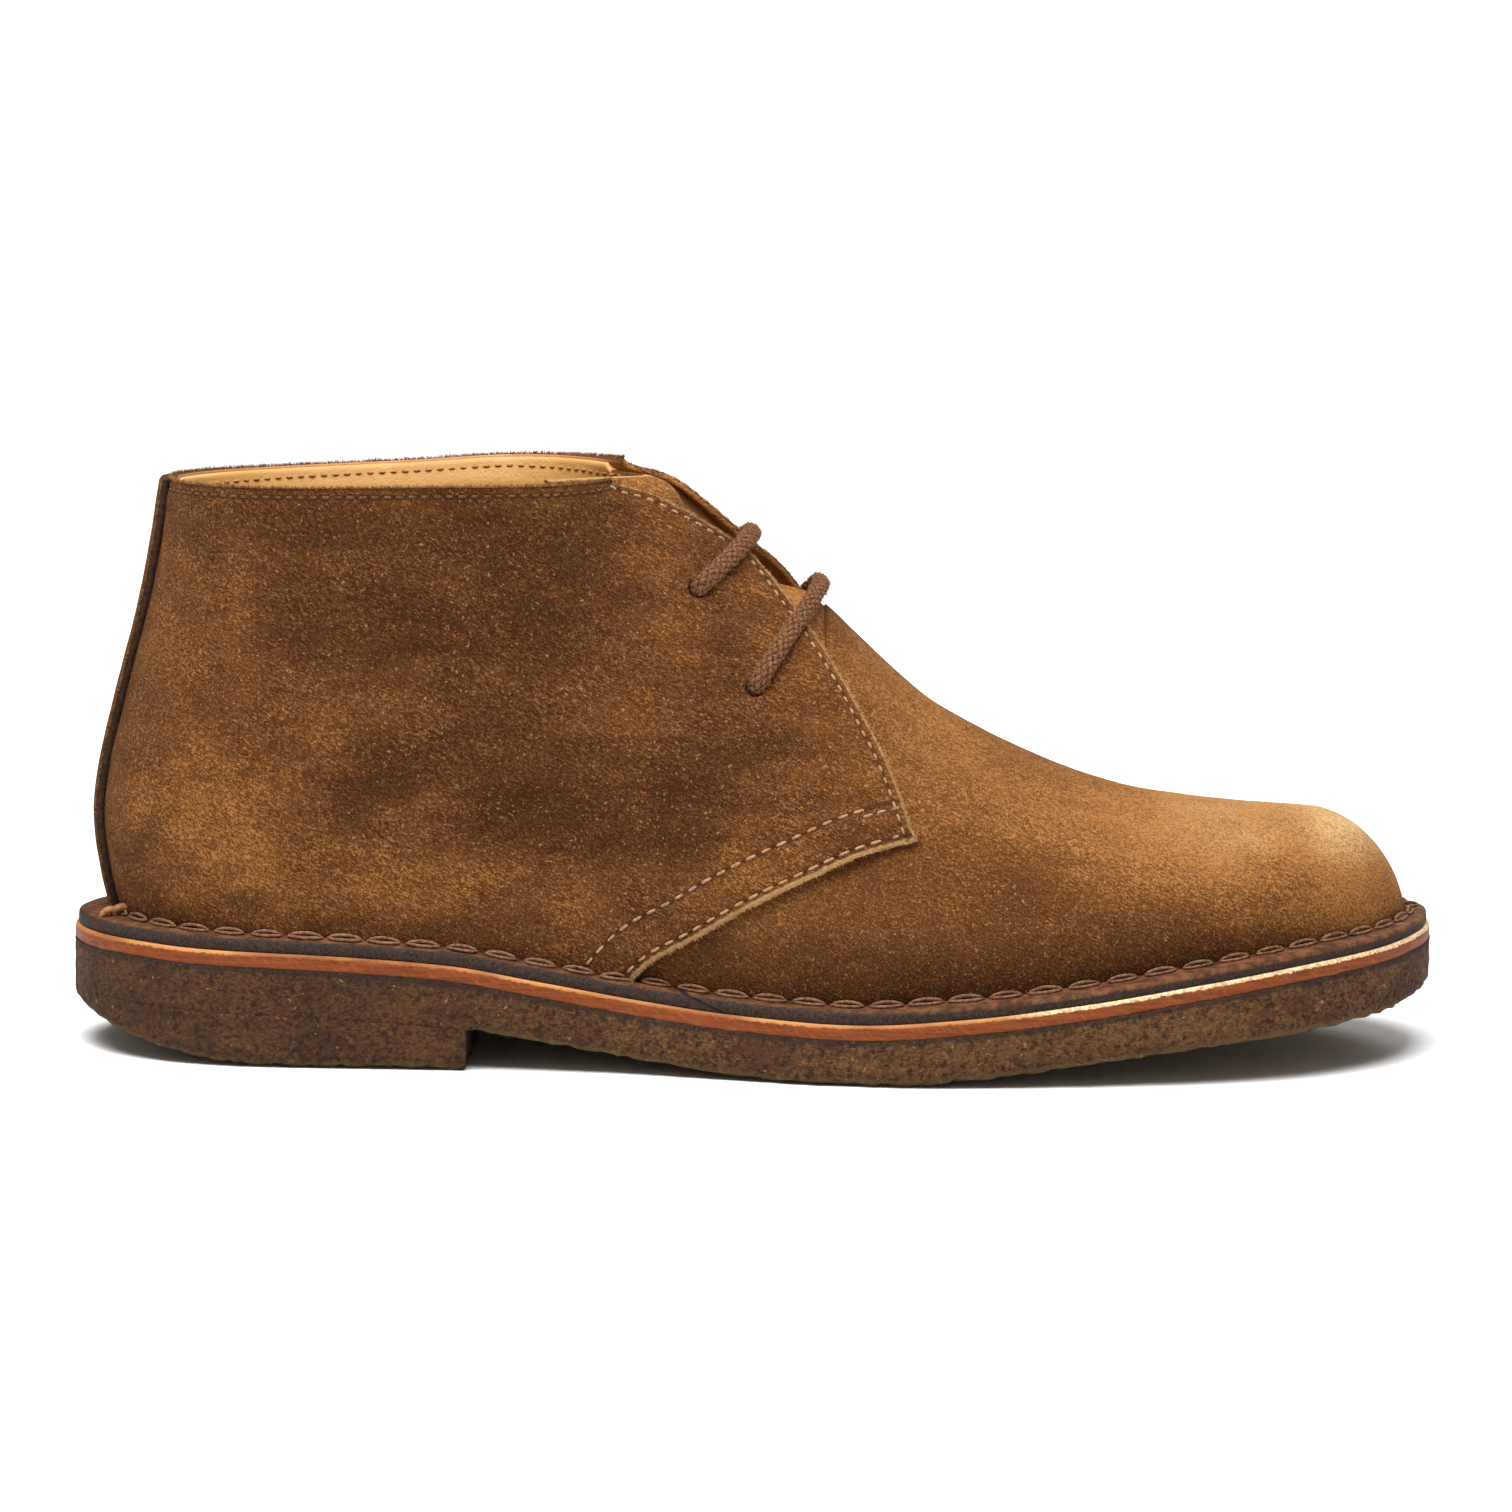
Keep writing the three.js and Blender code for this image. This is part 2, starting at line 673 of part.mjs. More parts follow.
function makeInsole() {
  const inset = vampWall + clearance * 1.4;
  const edge = (x, side) => {
    const z = seat(x);
    const share = formSkirt / (ridgeZ(x) - formFloor(x));
    return middleLine(upperAlong(x)) + side * halfWidth(side < 0 ? 0 : 1, x, z, share);
  };
  const shape = {
    from: heelX(seat(rearOfUpper)),
    to: tipOfUpper - 0.4,
    middle: (x) => middleLine(upperAlong(x)),
    edge,
  };
  return plank([{ inset, z: seat }, { inset, z: insoleTop }], shape);
}

function eyeletCut(eyelet, side) {
  const x = sideX(eyelet.along);
  const z = sideZ(eyelet.height);
  const { point, normal } = surfacePoint(x, z, side, 0);
  const drill = wasm.Manifold.cylinder(14, eyeletDiameter / 2, eyeletDiameter / 2, 16, true);
  const turn = new THREE.Quaternion().setFromUnitVectors(new THREE.Vector3(0, 0, 1), normal);
  const matrix = new THREE.Matrix4().compose(point, turn, new THREE.Vector3(1, 1, 1));
  return drill.transform(matrix.elements);
}

function makeUpper() {
  let upper = outerBody(0).subtract(form(-vampWall));
  upper = upper.intersect(above((x) => seat(x)));
  upper = upper.subtract(above(collarZ));
  upper = upper.subtract(form(clearance).intersect(tongueZone(0)));
  for (const eyelet of Object.values(eyelets)) {
    upper = upper.subtract(eyeletCut(eyelet, -1)).subtract(eyeletCut(eyelet, 1));
  }
  return upper;
}

function makeTongue() {
  const sheet = form(0).subtract(form(-vampWall)).intersect(tongueZone(clearance));
  return sheet.subtract(above((x, y) => collarZ(x, y) + tongueProud));
}

function makeBackstay() {
  const inner = quarterStep + clearance;
  const layer = form(inner + backstayThickness).subtract(form(inner));
  const zone = box([-soleLength, -backstayWidth / 2, 0], [-90, backstayWidth / 2, soleLength]);
  const strip = layer.intersect(zone).subtract(above(collarZ));
  return strip.intersect(above((x) => weltTop(x) + clearance));
}

// Lace bar over the throat, from the outer eyelet to the inner one
function makeLaceBar(eyelet) {
  const ride = quarterStep + clearance + laceThickness / 2 + 0.2;
  const steps = 13;
  const places = [];
  const low = { x: sideX(eyelet.along), z: sideZ(eyelet.height) };
  const topX = sideX(eyelet.crossing);
  const top = { x: topX, z: ridgeZ(topX) - 0.05 };
  for (const side of [-1, 1]) {
    for (let i = 0; i < steps; i += 1) {
      const t = Math.sin((Math.PI / 2) * ((i + 0.4) / steps));
      const x = low.x + (top.x - low.x) * t;
      const z = low.z + (top.z - low.z) * t;
      places.push({ order: side * (1 - t + 1e-3), ...surfacePoint(x, z, side, ride) });
    }
  }
  places.sort((a, b) => a.order - b.order);
  const sides = 10;
  const vertices = [];
  const triangles = [];
  places.forEach(({ point, normal }, i) => {
    const before = places[Math.max(0, i - 1)].point;
    const after = places[Math.min(places.length - 1, i + 1)].point;
    const forward = after.clone().sub(before).normalize();
    const across = new THREE.Vector3().crossVectors(forward, normal).normalize();
    const up = new THREE.Vector3().crossVectors(across, forward).normalize();
    for (let k = 0; k < sides; k += 1) {
      const angle = (2 * Math.PI * k) / sides;
      const corner = point.clone();
      corner.addScaledVector(across, (laceWidth / 2) * Math.cos(angle));
      corner.addScaledVector(up, (laceThickness / 2) * Math.sin(angle));
      vertices.push(corner.toArray());
    }
  });
  for (let i = 0; i < places.length - 1; i += 1) {
    for (let k = 0; k < sides; k += 1) {
      const a = i * sides + k;
      const b = i * sides + ((k + 1) % sides);
      triangles.push([a, b + sides, b], [a, a + sides, b + sides]);
    }
  }
  const end = (places.length - 1) * sides;
  for (let k = 1; k < sides - 1; k += 1) {
    triangles.push([0, k, k + 1], [end, end + k + 1, end + k]);
  }
  return solidFrom(vertices, triangles);
}

// Scene graph
const suede = new THREE.MeshStandardMaterial({ color: 0x7a5227, roughness: 0.95 });
const suedeDark = new THREE.MeshStandardMaterial({ color: 0x63401f, roughness: 0.95 });
const tanLeather = new THREE.MeshStandardMaterial({ color: 0xb9803f, roughness: 0.6 });
const orangeLeather = new THREE.MeshStandardMaterial({ color: 0xa2561f, roughness: 0.55 });
const brownLeather = new THREE.MeshStandardMaterial({ color: 0x4a3324, roughness: 0.75 });
const crepe = new THREE.MeshStandardMaterial({ color: 0x4b3a22, roughness: 0.85 });
const laceBrown = new THREE.MeshStandardMaterial({ color: 0x5d3d29, roughness: 0.9 });

function meshOf(name, solid, material) {
  const { numProp, vertProperties, triVerts, numVert } = solid.getMesh();
  const positions = new Float32Array(numVert * 3);
  for (let i = 0; i < numVert; i += 1) {
    positions.set(vertProperties.subarray(i * numProp, i * numProp + 3), i * 3);
  }
  const geometry = new THREE.BufferGeometry();
  geometry.setAttribute("position", new THREE.BufferAttribute(positions, 3));
  geometry.setIndex(new THREE.BufferAttribute(new Uint32Array(triVerts), 1));
  geometry.computeVertexNormals();
  const mesh = new THREE.Mesh(geometry, material);
  mesh.name = name;
  return mesh;
}

const boot = new THREE.Group();
boot.add(
  meshOf("outsole", makeOutsole(), crepe),
  meshOf("heel", makeHeel(), crepe),
  meshOf("midsole", makeMidsole(), orangeLeather),
  meshOf("welt", makeWelt(), brownLeather),
  meshOf("insole", makeInsole(), tanLeather),
  meshOf("upper", makeUpper().simplify(meshTolerance), suede),
  meshOf("tongue", makeTongue(), suede),
  meshOf("backstay", makeBackstay(), suedeDark),
  meshOf("lace_lower", makeLaceBar(eyelets.lower), laceBrown),
  meshOf("lace_upper", makeLaceBar(eyelets.upper), laceBrown),
);

export default boot;
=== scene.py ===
# Looks of a suede desert boot: panels, seams, laces, welt, sole edges and their finishes
import math

import bmesh
import bpy
import numpy as np
from mathutils import Euler, Matrix, Vector, noise
from mathutils.bvhtree import BVHTree


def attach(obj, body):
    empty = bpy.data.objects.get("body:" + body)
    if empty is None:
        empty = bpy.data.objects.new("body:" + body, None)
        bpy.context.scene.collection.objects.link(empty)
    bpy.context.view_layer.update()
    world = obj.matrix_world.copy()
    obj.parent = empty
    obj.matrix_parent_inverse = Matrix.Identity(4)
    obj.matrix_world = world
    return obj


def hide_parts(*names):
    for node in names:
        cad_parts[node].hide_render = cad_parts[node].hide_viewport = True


MM = 0.001
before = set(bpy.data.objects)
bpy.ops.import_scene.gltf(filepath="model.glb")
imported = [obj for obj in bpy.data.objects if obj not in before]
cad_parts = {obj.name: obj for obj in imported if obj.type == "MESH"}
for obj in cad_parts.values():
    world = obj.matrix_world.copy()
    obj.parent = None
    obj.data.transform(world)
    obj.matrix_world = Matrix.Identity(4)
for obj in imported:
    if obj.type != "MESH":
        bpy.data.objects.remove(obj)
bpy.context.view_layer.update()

# Sizes of the last and the sole, in millimetres, as the solids have them
SOLE_LENGTH = 298.0
SOLE_WIDTH = 107.0
UPPER_LENGTH = 284.5
HEEL_MARGIN = 8.1
BALL_WIDTH = 100.0
HEEL_WIDTH = 64.0
COLLAR_WIDTH = 65.0
COLLAR_HEIGHT = 123.0
HEEL_SPRING = 13.0
TOE_SPRING = 15.0
INSTEP_HEIGHT = 82.0
TOE_HEIGHT = 31.5
CLEARANCE = 0.3
CREPE_THICKNESS = 9.9
BALL_GROUND = 9.4
MIDSOLE_THICKNESS = 3.0
WELT_THICKNESS = 2.8
WELT_INSET = 0.9
HEEL_BREAST = 88.0
HEEL_BEVEL_LENGTH = 46.0
HEEL_BEVEL_HEIGHT = 9.3
CREPE_EDGE_RADIUS = 2.2
TOE_CAP_LENGTH = 21.3
SOLE_HEEL_ROUNDING = 64.0
SOLE_TOE_ROUNDING = 68.0
HEEL_ROUNDING = 54.0
TOE_ROUNDING = 70.0
HEEL_CURVE_DEPTH = 15.6
FORM_SKIRT = 2.3
QUARTER_STEP = 1.6
VAMP_WALL = 1.4
BACKSTAY_WIDTH = 14.0
EYELET_DIAMETER = 4.2
LACE_WIDTH = 4.0
LACE_THICKNESS = 2.4
TONGUE_FOOT = 0.545
TONGUE_PROUD = 1.6
VAMP_FROM = 0.36
THROAT_END = 0.537

# Sizes of the finish
FACING_STITCH_IN = 1.8
FOOT_STITCH_IN = 1.7
FOOT_SECOND_ROW = 9.3
COLLAR_STITCH_IN = 1.9
LINING_STITCH_IN = 2.3
FINE_PITCH = 2.6
FOOT_PITCH = 3.5
TONGUE_SINK = 3.8
WELT_PITCH = 8.4
STITCH_UNEVENNESS = 0.07
BRAID_PITCH, BRAID_STRANDS = 2.3, 7
CREAM_FROM = 58.0
HEEL_KNOT_X = -137.0
WELT_SPLICE_X = -38.0
WELT_SPLICE_Z = 27.5
WELT_SPLICE_SLANT = 2.4
# Loose fibres: how many, and how long
FIBRES = {"collar": (5600, 1.1), "facing": (3400, 1.0), "foot": (2800, 1.0), "strip": (2000, 0.8),
          "lace": (3000, 0.75)}

# Rows, columns and steps of the meshes
FRONT_ROWS, FOOT_ROWS, SIDE_COLUMNS = 74, 56, 130
LINING_SET_BACK = 14
VAMP_COLUMNS, VAMP_ROWS = 191, 181
TONGUE_ROWS, TONGUE_HALF = 96, 60
STRIP_ROWS, STRIP_COLUMNS = 150, 41
PLAN_STEPS, HEEL_STEPS, BREAST_STEPS = 260, 150, 34
CREPE_LEVELS, MIDSOLE_LEVELS = 17, 9
LACE_SIDES, LACE_STEP = 56, 0.16
FIBRE_SIDES = 3

# Camera at the photograph's place, in metres and degrees
CAMERA_PLACE = (0, -1.039, 0.195)
CAMERA_TILT, CAMERA_ROLL = 7.236, 0.57
CAMERA_LENS = 114.05

SOLE_RISE = [
    (0.0, 1.0, 0, 1), (0.05, 0.975, 0, 1), (0.1, 0.92, 0, 1), (0.18, 0.87, 0, 1),
    (0.28, 0.73, 0, 1), (0.35, 0.475, 0, 0.96), (0.42, 0.23, 0, 0.96), (0.5, 0.055, 0, 0.98),
    (0.567, 0, 0, 1), (0.65, 0, 0.105, 1), (0.735, 0, 0.31, 0.97), (0.82, 0, 0.57, 1.05),
    (0.9, 0, 0.79, 1.17), (0.96, 0, 0.9, 1.14), (1.0, 0, 1.0, 1.06),
]
SOLE_PLAN = [
    (0.0, 0.352, 0.352, 0), (0.14, 0.352, 0.352, 0), (0.27, 0.36, 0.33, 0),
    (0.38, 0.378, 0.305, 0.005), (0.48, 0.435, 0.325, 0.015), (0.56, 0.486, 0.392, 0.025),
    (0.62, 0.5, 0.444, 0.032), (0.73, 0.482, 0.5, 0.045), (0.82, 0.444, 0.488, 0.05),
    (0.9, 0.4, 0.458, 0.055), (1.0, 0.33, 0.4, 0.055),
]
HEEL_CURVE = [
    (0.16, 0.36), (0.25, 0.2), (0.32, 0.075), (0.41, 0), (0.5, 0.09), (0.57, 0.22),
    (0.68, 0.44), (0.82, 0.71), (1.0, 0.95), (1.16, 1.12),
]
RIDGE_LINE = [
    (0.23, 11.5), (0.27, 7.5), (0.305, 4.3), (0.335, 2.72), (0.358, 2.02), (0.38, 1.7),
    (0.4, 1.597), (0.428, 1.545), (0.46, 1.428), (0.491, 1.292), (0.52, 1.19), (0.546, 1.08),
    (0.573, 0.935), (0.6, 0.787), (0.63, 0.637), (0.66, 0.525), (0.7, 0.387), (0.75, 0.237),
    (0.8, 0.12), (0.85, 0.045), (0.9, -0.015), (1.0, -0.1),
]
# along, half widths at seat, bulge and ankle (outer, inner), collar, middle line, crown, start
REAR_SECTIONS = [
    (0.0, 0.48, 0.48, 0.505, 0.5, 0.47, 0.465, 0.49, 0, 2, 0.3),
    (0.12, 0.485, 0.485, 0.512, 0.505, 0.485, 0.48, 0.495, 0, 2, 0.3),
    (0.25, 0.505, 0.455, 0.52, 0.475, 0.5, 0.49, 0.5, 0.004, 2, 0.3),
    (0.38, 0.555, 0.41, 0.57, 0.44, 0.54, 0.49, 0.51, 0.016, 1.9, 0.28),
]
FRONT_SECTIONS = [
    (0.5, 0.44, 0.275, 0.46, 0.32, 0.42, 0.35, 0.56, 0.025, 1.55, 0.24),
    (0.6, 0.5, 0.36, 0.53, 0.4, 0.51, 0.42, 0.6, 0.035, 1.6, 0.22),
    (0.7, 0.5, 0.415, 0.53, 0.45, 0.53, 0.45, 0.6, 0.045, 1.8, 0.24),
    (0.8, 0.465, 0.405, 0.485, 0.425, 0.485, 0.425, 0.6, 0.05, 2.1, 0.27),
    (0.9, 0.42, 0.36, 0.437, 0.375, 0.437, 0.375, 0.6, 0.055, 2.3, 0.28),
    (1.0, 0.36, 0.33, 0.37, 0.34, 0.37, 0.34, 0.6, 0.055, 2.3, 0.28),
]
PROFILE_LEVELS = (0.0, 0.2, 0.6, 1.0)
OUTER_EDGE = [
    (0.36, 1.3), (0.375, 1.03), (0.384, 0.998), (0.418, 0.967), (0.456, 0.917), (0.49, 0.858),
    (0.524, 0.768), (0.546, 0.7), (0.568, 0.618), (0.59, 0.528), (0.609, 0.425),
]
INNER_EDGE = [
    (0.375, 1.3), (0.388, 1.03), (0.403, 1.004), (0.43, 0.978), (0.462, 0.924), (0.492, 0.862),
    (0.52, 0.8), (0.546, 0.728), (0.568, 0.64), (0.59, 0.538), (0.609, 0.425),
]
QUARTER_TIP = (0.613, 0.409)
QUARTER_FOOT = [
    (0.575, 0.387), (0.53, 0.34), (0.486, 0.288), (0.449, 0.234), (0.419, 0.192), (0.39, 0.12),
]
COLLAR_LINE = [
    (0.0, 0.998, 0.998), (0.08, 0.996, 1.002), (0.22, 1.002, 1.016), (0.3, 1.005, 1.028),
    (0.36, 1.003, 1.03), (0.45, 1.003, 1.02),
]
# Eyelet: along, height, and where the bar crosses the ridge
EYELETS = {"lower": (0.4935, 0.655, 0.537), "upper": (0.4485, 0.819, 0.484)}

REAR = -SOLE_LENGTH / 2 + HEEL_MARGIN
TIP = REAR + UPPER_LENGTH


# Curves of the form
def cubic(t, width, low, high, slope_low, slope_high):
    """A smooth piece between two values, with a slope at each end."""
    piece = low + (high - low) * t * t * (3 - 2 * t) + t * (1 - t) ** 2 * width * slope_low
    return piece + t * t * (t - 1) * width * slope_high


def curve(pairs):
    """A smooth function through pairs that doesn't swing past them."""
    px, py = np.array(pairs, float).T
    slope = np.diff(py) / np.diff(px)
    tangent = np.zeros(len(px))
    tangent[0], tangent[-1] = slope[0], slope[-1]
    for i in range(1, len(px) - 1):
        a, b = slope[i - 1], slope[i]
        tangent[i] = 0 if a * b <= 0 else 2 * a * b / (a + b)

    def at(x):
        x = np.asarray(x, float)
        i = np.clip(np.searchsorted(px, x, side="right") - 1, 0, len(px) - 2)
        width = px[i + 1] - px[i]
        t = np.clip((x - px[i]) / width, 0, 1)
        return cubic(t, width, py[i], py[i + 1], tangent[i], tangent[i + 1])

    return at


def column(rows, index, size=1.0):
    return curve([(row[0], row[index] * size) for row in rows])


def end_rounding(distance, length):
    t = np.clip(distance / length, 0, 1)
    return np.sqrt(1 - (1 - t) ** 3)


def smooth(t):
    t = np.clip(t, 0, 1)
    return t * t * (3 - 2 * t)


def bell(distance, width):
    return np.exp(-(distance / width) ** 2)


def rim(gap, width):
    """One at the edge itself, and nothing from the width on."""
    return (1 - np.clip(gap / width, 0, 1)) ** 2


def eased(count):
    """Shares from 0 to 1, close together at both ends."""
    return 0.5 * (1 - np.cos(np.pi * np.linspace(0, 1, count)))


def unit(vectors):
    return vectors / np.maximum(np.linalg.norm(vectors, axis=-1, keepdims=True), 1e-9)


def sole_along(x):
    return (x + SOLE_LENGTH / 2) / SOLE_LENGTH


def upper_along(x):
    return (x - REAR) / UPPER_LENGTH


heel_share = column(SOLE_RISE, 1)
toe_share = column(SOLE_RISE, 2)
crepe_share = column(SOLE_RISE, 3)
plan_outer = column(SOLE_PLAN, 1, SOLE_WIDTH)
plan_inner = column(SOLE_PLAN, 2, SOLE_WIDTH)
plan_middle = column(SOLE_PLAN, 3, SOLE_WIDTH)


def crepe_top(x):
    along = sole_along(x)
    return BALL_GROUND + HEEL_SPRING * heel_share(along) + TOE_SPRING * toe_share(along)


def crepe_underside(x):
    return crepe_top(x) - CREPE_THICKNESS * crepe_share(sole_along(x))


def midsole_bottom(x):
    return crepe_top(x) + CLEARANCE


def midsole_top(x):
    return midsole_bottom(x) + MIDSOLE_THICKNESS


def seat(x):
    return midsole_top(x) + CLEARANCE


def welt_top(x):
    return seat(x) + WELT_THICKNESS


def sole_edge(x, side):
    round_off = end_rounding(x + SOLE_LENGTH / 2, SOLE_HEEL_ROUNDING)
    round_off = round_off * end_rounding(SOLE_LENGTH / 2 - x, SOLE_TOE_ROUNDING)
    along = sole_along(x)
    middle = plan_middle(along)
    reach = plan_outer(along) + middle if side < 0 else plan_inner(along) - middle
    return middle + side * reach * round_off


# Sections of the last
def section_column(index, rear_size, front_size):
    rows = [(row[0], row[index] * rear_size) for row in REAR_SECTIONS]
    rows += [(row[0], row[index] * front_size) for row in FRONT_SECTIONS]
    return curve(rows)


section_widths = [
    [section_column(1 + 2 * level + side, HEEL_WIDTH, BALL_WIDTH) for level in range(3)]
    + [section_column(7, COLLAR_WIDTH, COLLAR_WIDTH)]
    for side in (0, 1)
]
middle_line = section_column(8, BALL_WIDTH, BALL_WIDTH)
crown_power = section_column(9, 1, 1)
crown_start = section_column(10, 1, 1)
heel_forward = curve(HEEL_CURVE)
ridge_lift = curve(RIDGE_LINE)
collar_outer = column(COLLAR_LINE, 1, COLLAR_HEIGHT)
collar_inner = column(COLLAR_LINE, 2, COLLAR_HEIGHT)


def form_floor(x):
    return seat(x) - FORM_SKIRT


def heel_x(z):
    return REAR + HEEL_CURVE_DEPTH * heel_forward(z / COLLAR_HEIGHT)


def ridge_z(x):
    past = np.maximum(0, (x - (TIP - TOE_CAP_LENGTH)) / TOE_CAP_LENGTH)
    cap = np.sqrt(np.maximum(0, 1 - past ** 2))
    height = TOE_HEIGHT + (INSTEP_HEIGHT - TOE_HEIGHT) * ridge_lift(upper_along(x))
    return form_floor(x) + height * cap


def profile_at(level, values):
    levels = PROFILE_LEVELS
    slope = [(values[i + 1] - values[i]) / (levels[i + 1] - levels[i]) for i in range(3)]
    tangent = [slope[0]]
    for i in (1, 2):
        product = slope[i - 1] * slope[i]
        total = np.where(product > 0, slope[i - 1] + slope[i], 1)
        tangent.append(np.where(product > 0, 2 * product / total, 0))
    tangent.append(slope[2])
    found = 0
    for i in range(3):
        width = levels[i + 1] - levels[i]
        t = np.clip((level - levels[i]) / width, 0, 1)
        piece = cubic(t, width, values[i], values[i + 1], tangent[i], tangent[i + 1])
        found = np.where(level >= levels[i], piece, found) if i else piece
    return found


def half_width(side, x, z):
    along = upper_along(x)
    low = form_floor(x)
    share = (z - low) / np.maximum(ridge_z(x) - low, 1e-6)
    values = [width(along) for width in section_widths[0 if side < 0 else 1]]
    ends = end_rounding(x - heel_x(z), HEEL_ROUNDING) * end_rounding(TIP - x, TOE_ROUNDING)
    start = crown_start(along)
    over = np.clip((share - start) / (1 - start), 0, 1)
    crown = np.sqrt(np.maximum(0, 1 - over ** crown_power(along)))
    return profile_at((z - low) / COLLAR_HEIGHT, values) * ends * crown


def form_point(side, x, z):
    x, z = np.broadcast_arrays(np.asarray(x, float), np.asarray(z, float))
    y = middle_line(upper_along(x)) + side * half_width(side, x, z)
    return np.stack([x, y, z], -1)


def surface_point(side, x, z, offset):
    step = 0.05
    at = form_point(side, x, z)
    dx = form_point(side, x + step, z) - form_point(side, x - step, z)
    dz = form_point(side, x, z + step) - form_point(side, x, z - step)
    normal = unit(np.cross(dx, dz))
    normal = np.where(normal[..., 1:2] * side < 0, -normal, normal)
    return at + normal * np.asarray(offset)[..., None], normal


# Mesh helpers
def outward_normals(points, row, column, axis):
    """Normals of a grid; the one at row and column has to point against the axis."""
    normal = unit(np.cross(np.gradient(points, axis=1), np.gradient(points, axis=0)))
    return -normal if normal[row, column, axis] > 0 else normal


def placed(name, data):
    """A new object in the scene."""
    obj = bpy.data.objects.new(name, data)
    bpy.context.scene.collection.objects.link(obj)
    return obj


def make_object(name, points, faces, material_index=None, attributes=None):
    mesh = bpy.data.meshes.new(name)
    mesh.from_pydata((np.asarray(points, float) * MM).tolist(), [], faces)
    if material_index is not None:
        mesh.polygons.foreach_set("material_index", np.asarray(material_index, np.int32))
    for key, values in (attributes or {}).items():
        layer = mesh.attributes.new(key, "FLOAT", "POINT")
        layer.data.foreach_set("value", np.asarray(values, np.float32).ravel())
    mesh.polygons.foreach_set("use_smooth", np.ones(len(mesh.polygons), bool))
    mesh.update()
    return placed(name, mesh)


def shell_object(name, outside, inside, keep=None, attributes=None):
    """Closed sheet between two grids of points, with the quads that keep marks."""
    rows, columns = outside.shape[:2]
    count = rows * columns
    if keep is None:
        keep = np.ones((rows - 1, columns - 1), bool)
    index = np.arange(count).reshape(rows, columns)
    quads = np.stack([index[:-1, :-1], index[:-1, 1:], index[1:, 1:], index[1:, :-1]], -1)
    outer = quads[keep]
    inner = outer[:, ::-1] + count
    rims = []
    padded = np.pad(keep, 1)
    above, below = padded[:-1, 1:-1], padded[1:, 1:-1]
    for i, j in zip(*np.nonzero(above != below)):
        a, b = int(index[i, j]), int(index[i, j + 1])
        rims.append((b, a, a + count, b + count) if below[i, j] else (a, b, b + count, a + count))
    before, after = padded[1:-1, :-1], padded[1:-1, 1:]
    for i, j in zip(*np.nonzero(before != after)):
        a, b = int(index[i, j]), int(index[i + 1, j])
        rims.append((a, b, b + count, a + count) if after[i, j] else (b, a, a + count, b + count))
    faces = outer.tolist() + inner.tolist() + rims
    kinds = [0] * len(outer) + [1] * len(inner) + [2] * len(rims)
    points = np.concatenate([outside.reshape(-1, 3), inside.reshape(-1, 3)])
    used = np.unique(np.array(faces))
    place = np.zeros(len(points), int)
    place[used] = np.arange(len(used))
    doubled = {key: np.tile(values.ravel(), 2)[used] for key, values in (attributes or {}).items()}
    return make_object(name, points[used], place[np.array(faces)].tolist(), kinds, doubled)


def distance_to(points, line):
    """Distance of each point to a dense line, in millimetres."""
    flat = points.reshape(-1, 3)
    best = np.full(len(flat), 1e9)
    for start in range(0, len(flat), 4000):
        part = flat[start:start + 4000]
        gap = ((part[:, None, :] - line[None, :, :]) ** 2).sum(-1)
        best[start:start + 4000] = np.sqrt(gap.min(1))
    return best.reshape(points.shape[:-1])


def dense_line(rows, steps=400):
    rows = np.array(rows, float)
    chord = np.concatenate([[0], np.cumsum(np.hypot(*np.diff(rows, axis=0).T) ** 0.5)])
    t = np.linspace(0, chord[-1], steps)
    return np.stack([curve(np.stack([chord, rows[:, i]], 1))(t) for i in (0, 1)], 1)


def run_of(points):
    """How far each point of a line is from its start, along it."""
    return np.concatenate([[0], np.cumsum(np.linalg.norm(np.diff(points, axis=0), axis=1))])


def read_at(at, run, rows):
    """The rows of a line at the distances at."""
    return np.stack([np.interp(at, run, rows[:, i]) for i in range(3)], 1)


def resample(points, pitch, shift=0.0):
    """Even stations along a line: places, directions and how far along they and the points are."""
    run = run_of(points)
    count = max(2, int(round(run[-1] / pitch)))
    at = (np.arange(count) + 0.5 + shift) * run[-1] / count
    direction = unit(read_at(at + 0.4, run, points) - read_at(at - 0.4, run, points))
    return read_at(at, run, points), direction, at, run


def fractal(points, size, seed=0.0, octaves=3):
    """Signed noise of the points, with features of about the given size in millimetres."""
    shift = Vector((seed, seed * 1.7, seed * 0.3))
    flat = points.reshape(-1, 3) / size
    values = [noise.fractal(Vector(p) + shift, 0.8, 2.1, octaves) for p in flat]
    return np.array(values).reshape(points.shape[:-1])


# The camera
camera_data = bpy.data.cameras.new("camera")
camera_data.lens = CAMERA_LENS
camera_data.sensor_width = 36
camera_data.clip_start = 0.01
camera = placed("camera", camera_data)
turn = Euler((math.radians(90 - CAMERA_TILT), 0, 0)).to_matrix()
turn = turn @ Matrix.Rotation(math.radians(CAMERA_ROLL), 3, "Z")
camera.matrix_world = Matrix.Translation(CAMERA_PLACE) @ turn.to_4x4()
bpy.context.scene.camera = camera


# Outline of a quarter in the side view: front edge down to the tip, then its foot
def side_mm(rows):
    rows = np.array(rows, float)
    return np.stack([REAR + rows[:, 0] * UPPER_LENGTH, rows[:, 1] * COLLAR_HEIGHT], 1)


def bottom_z(x):
    return welt_top(x) - 1.6


def height_share(x, z, collar):
    low = bottom_z(x)
    return (z - low) / (collar(upper_along(x)) - low)


foot_line = side_mm(dense_line([QUARTER_TIP] + QUARTER_FOOT))
front_lines = {side: side_mm(np.concatenate([dense_line(edge), [QUARTER_TIP]]))
               for side, edge in ((-1, OUTER_EDGE), (1, INNER_EDGE))}
collars = {-1: collar_outer, 1: collar_inner}


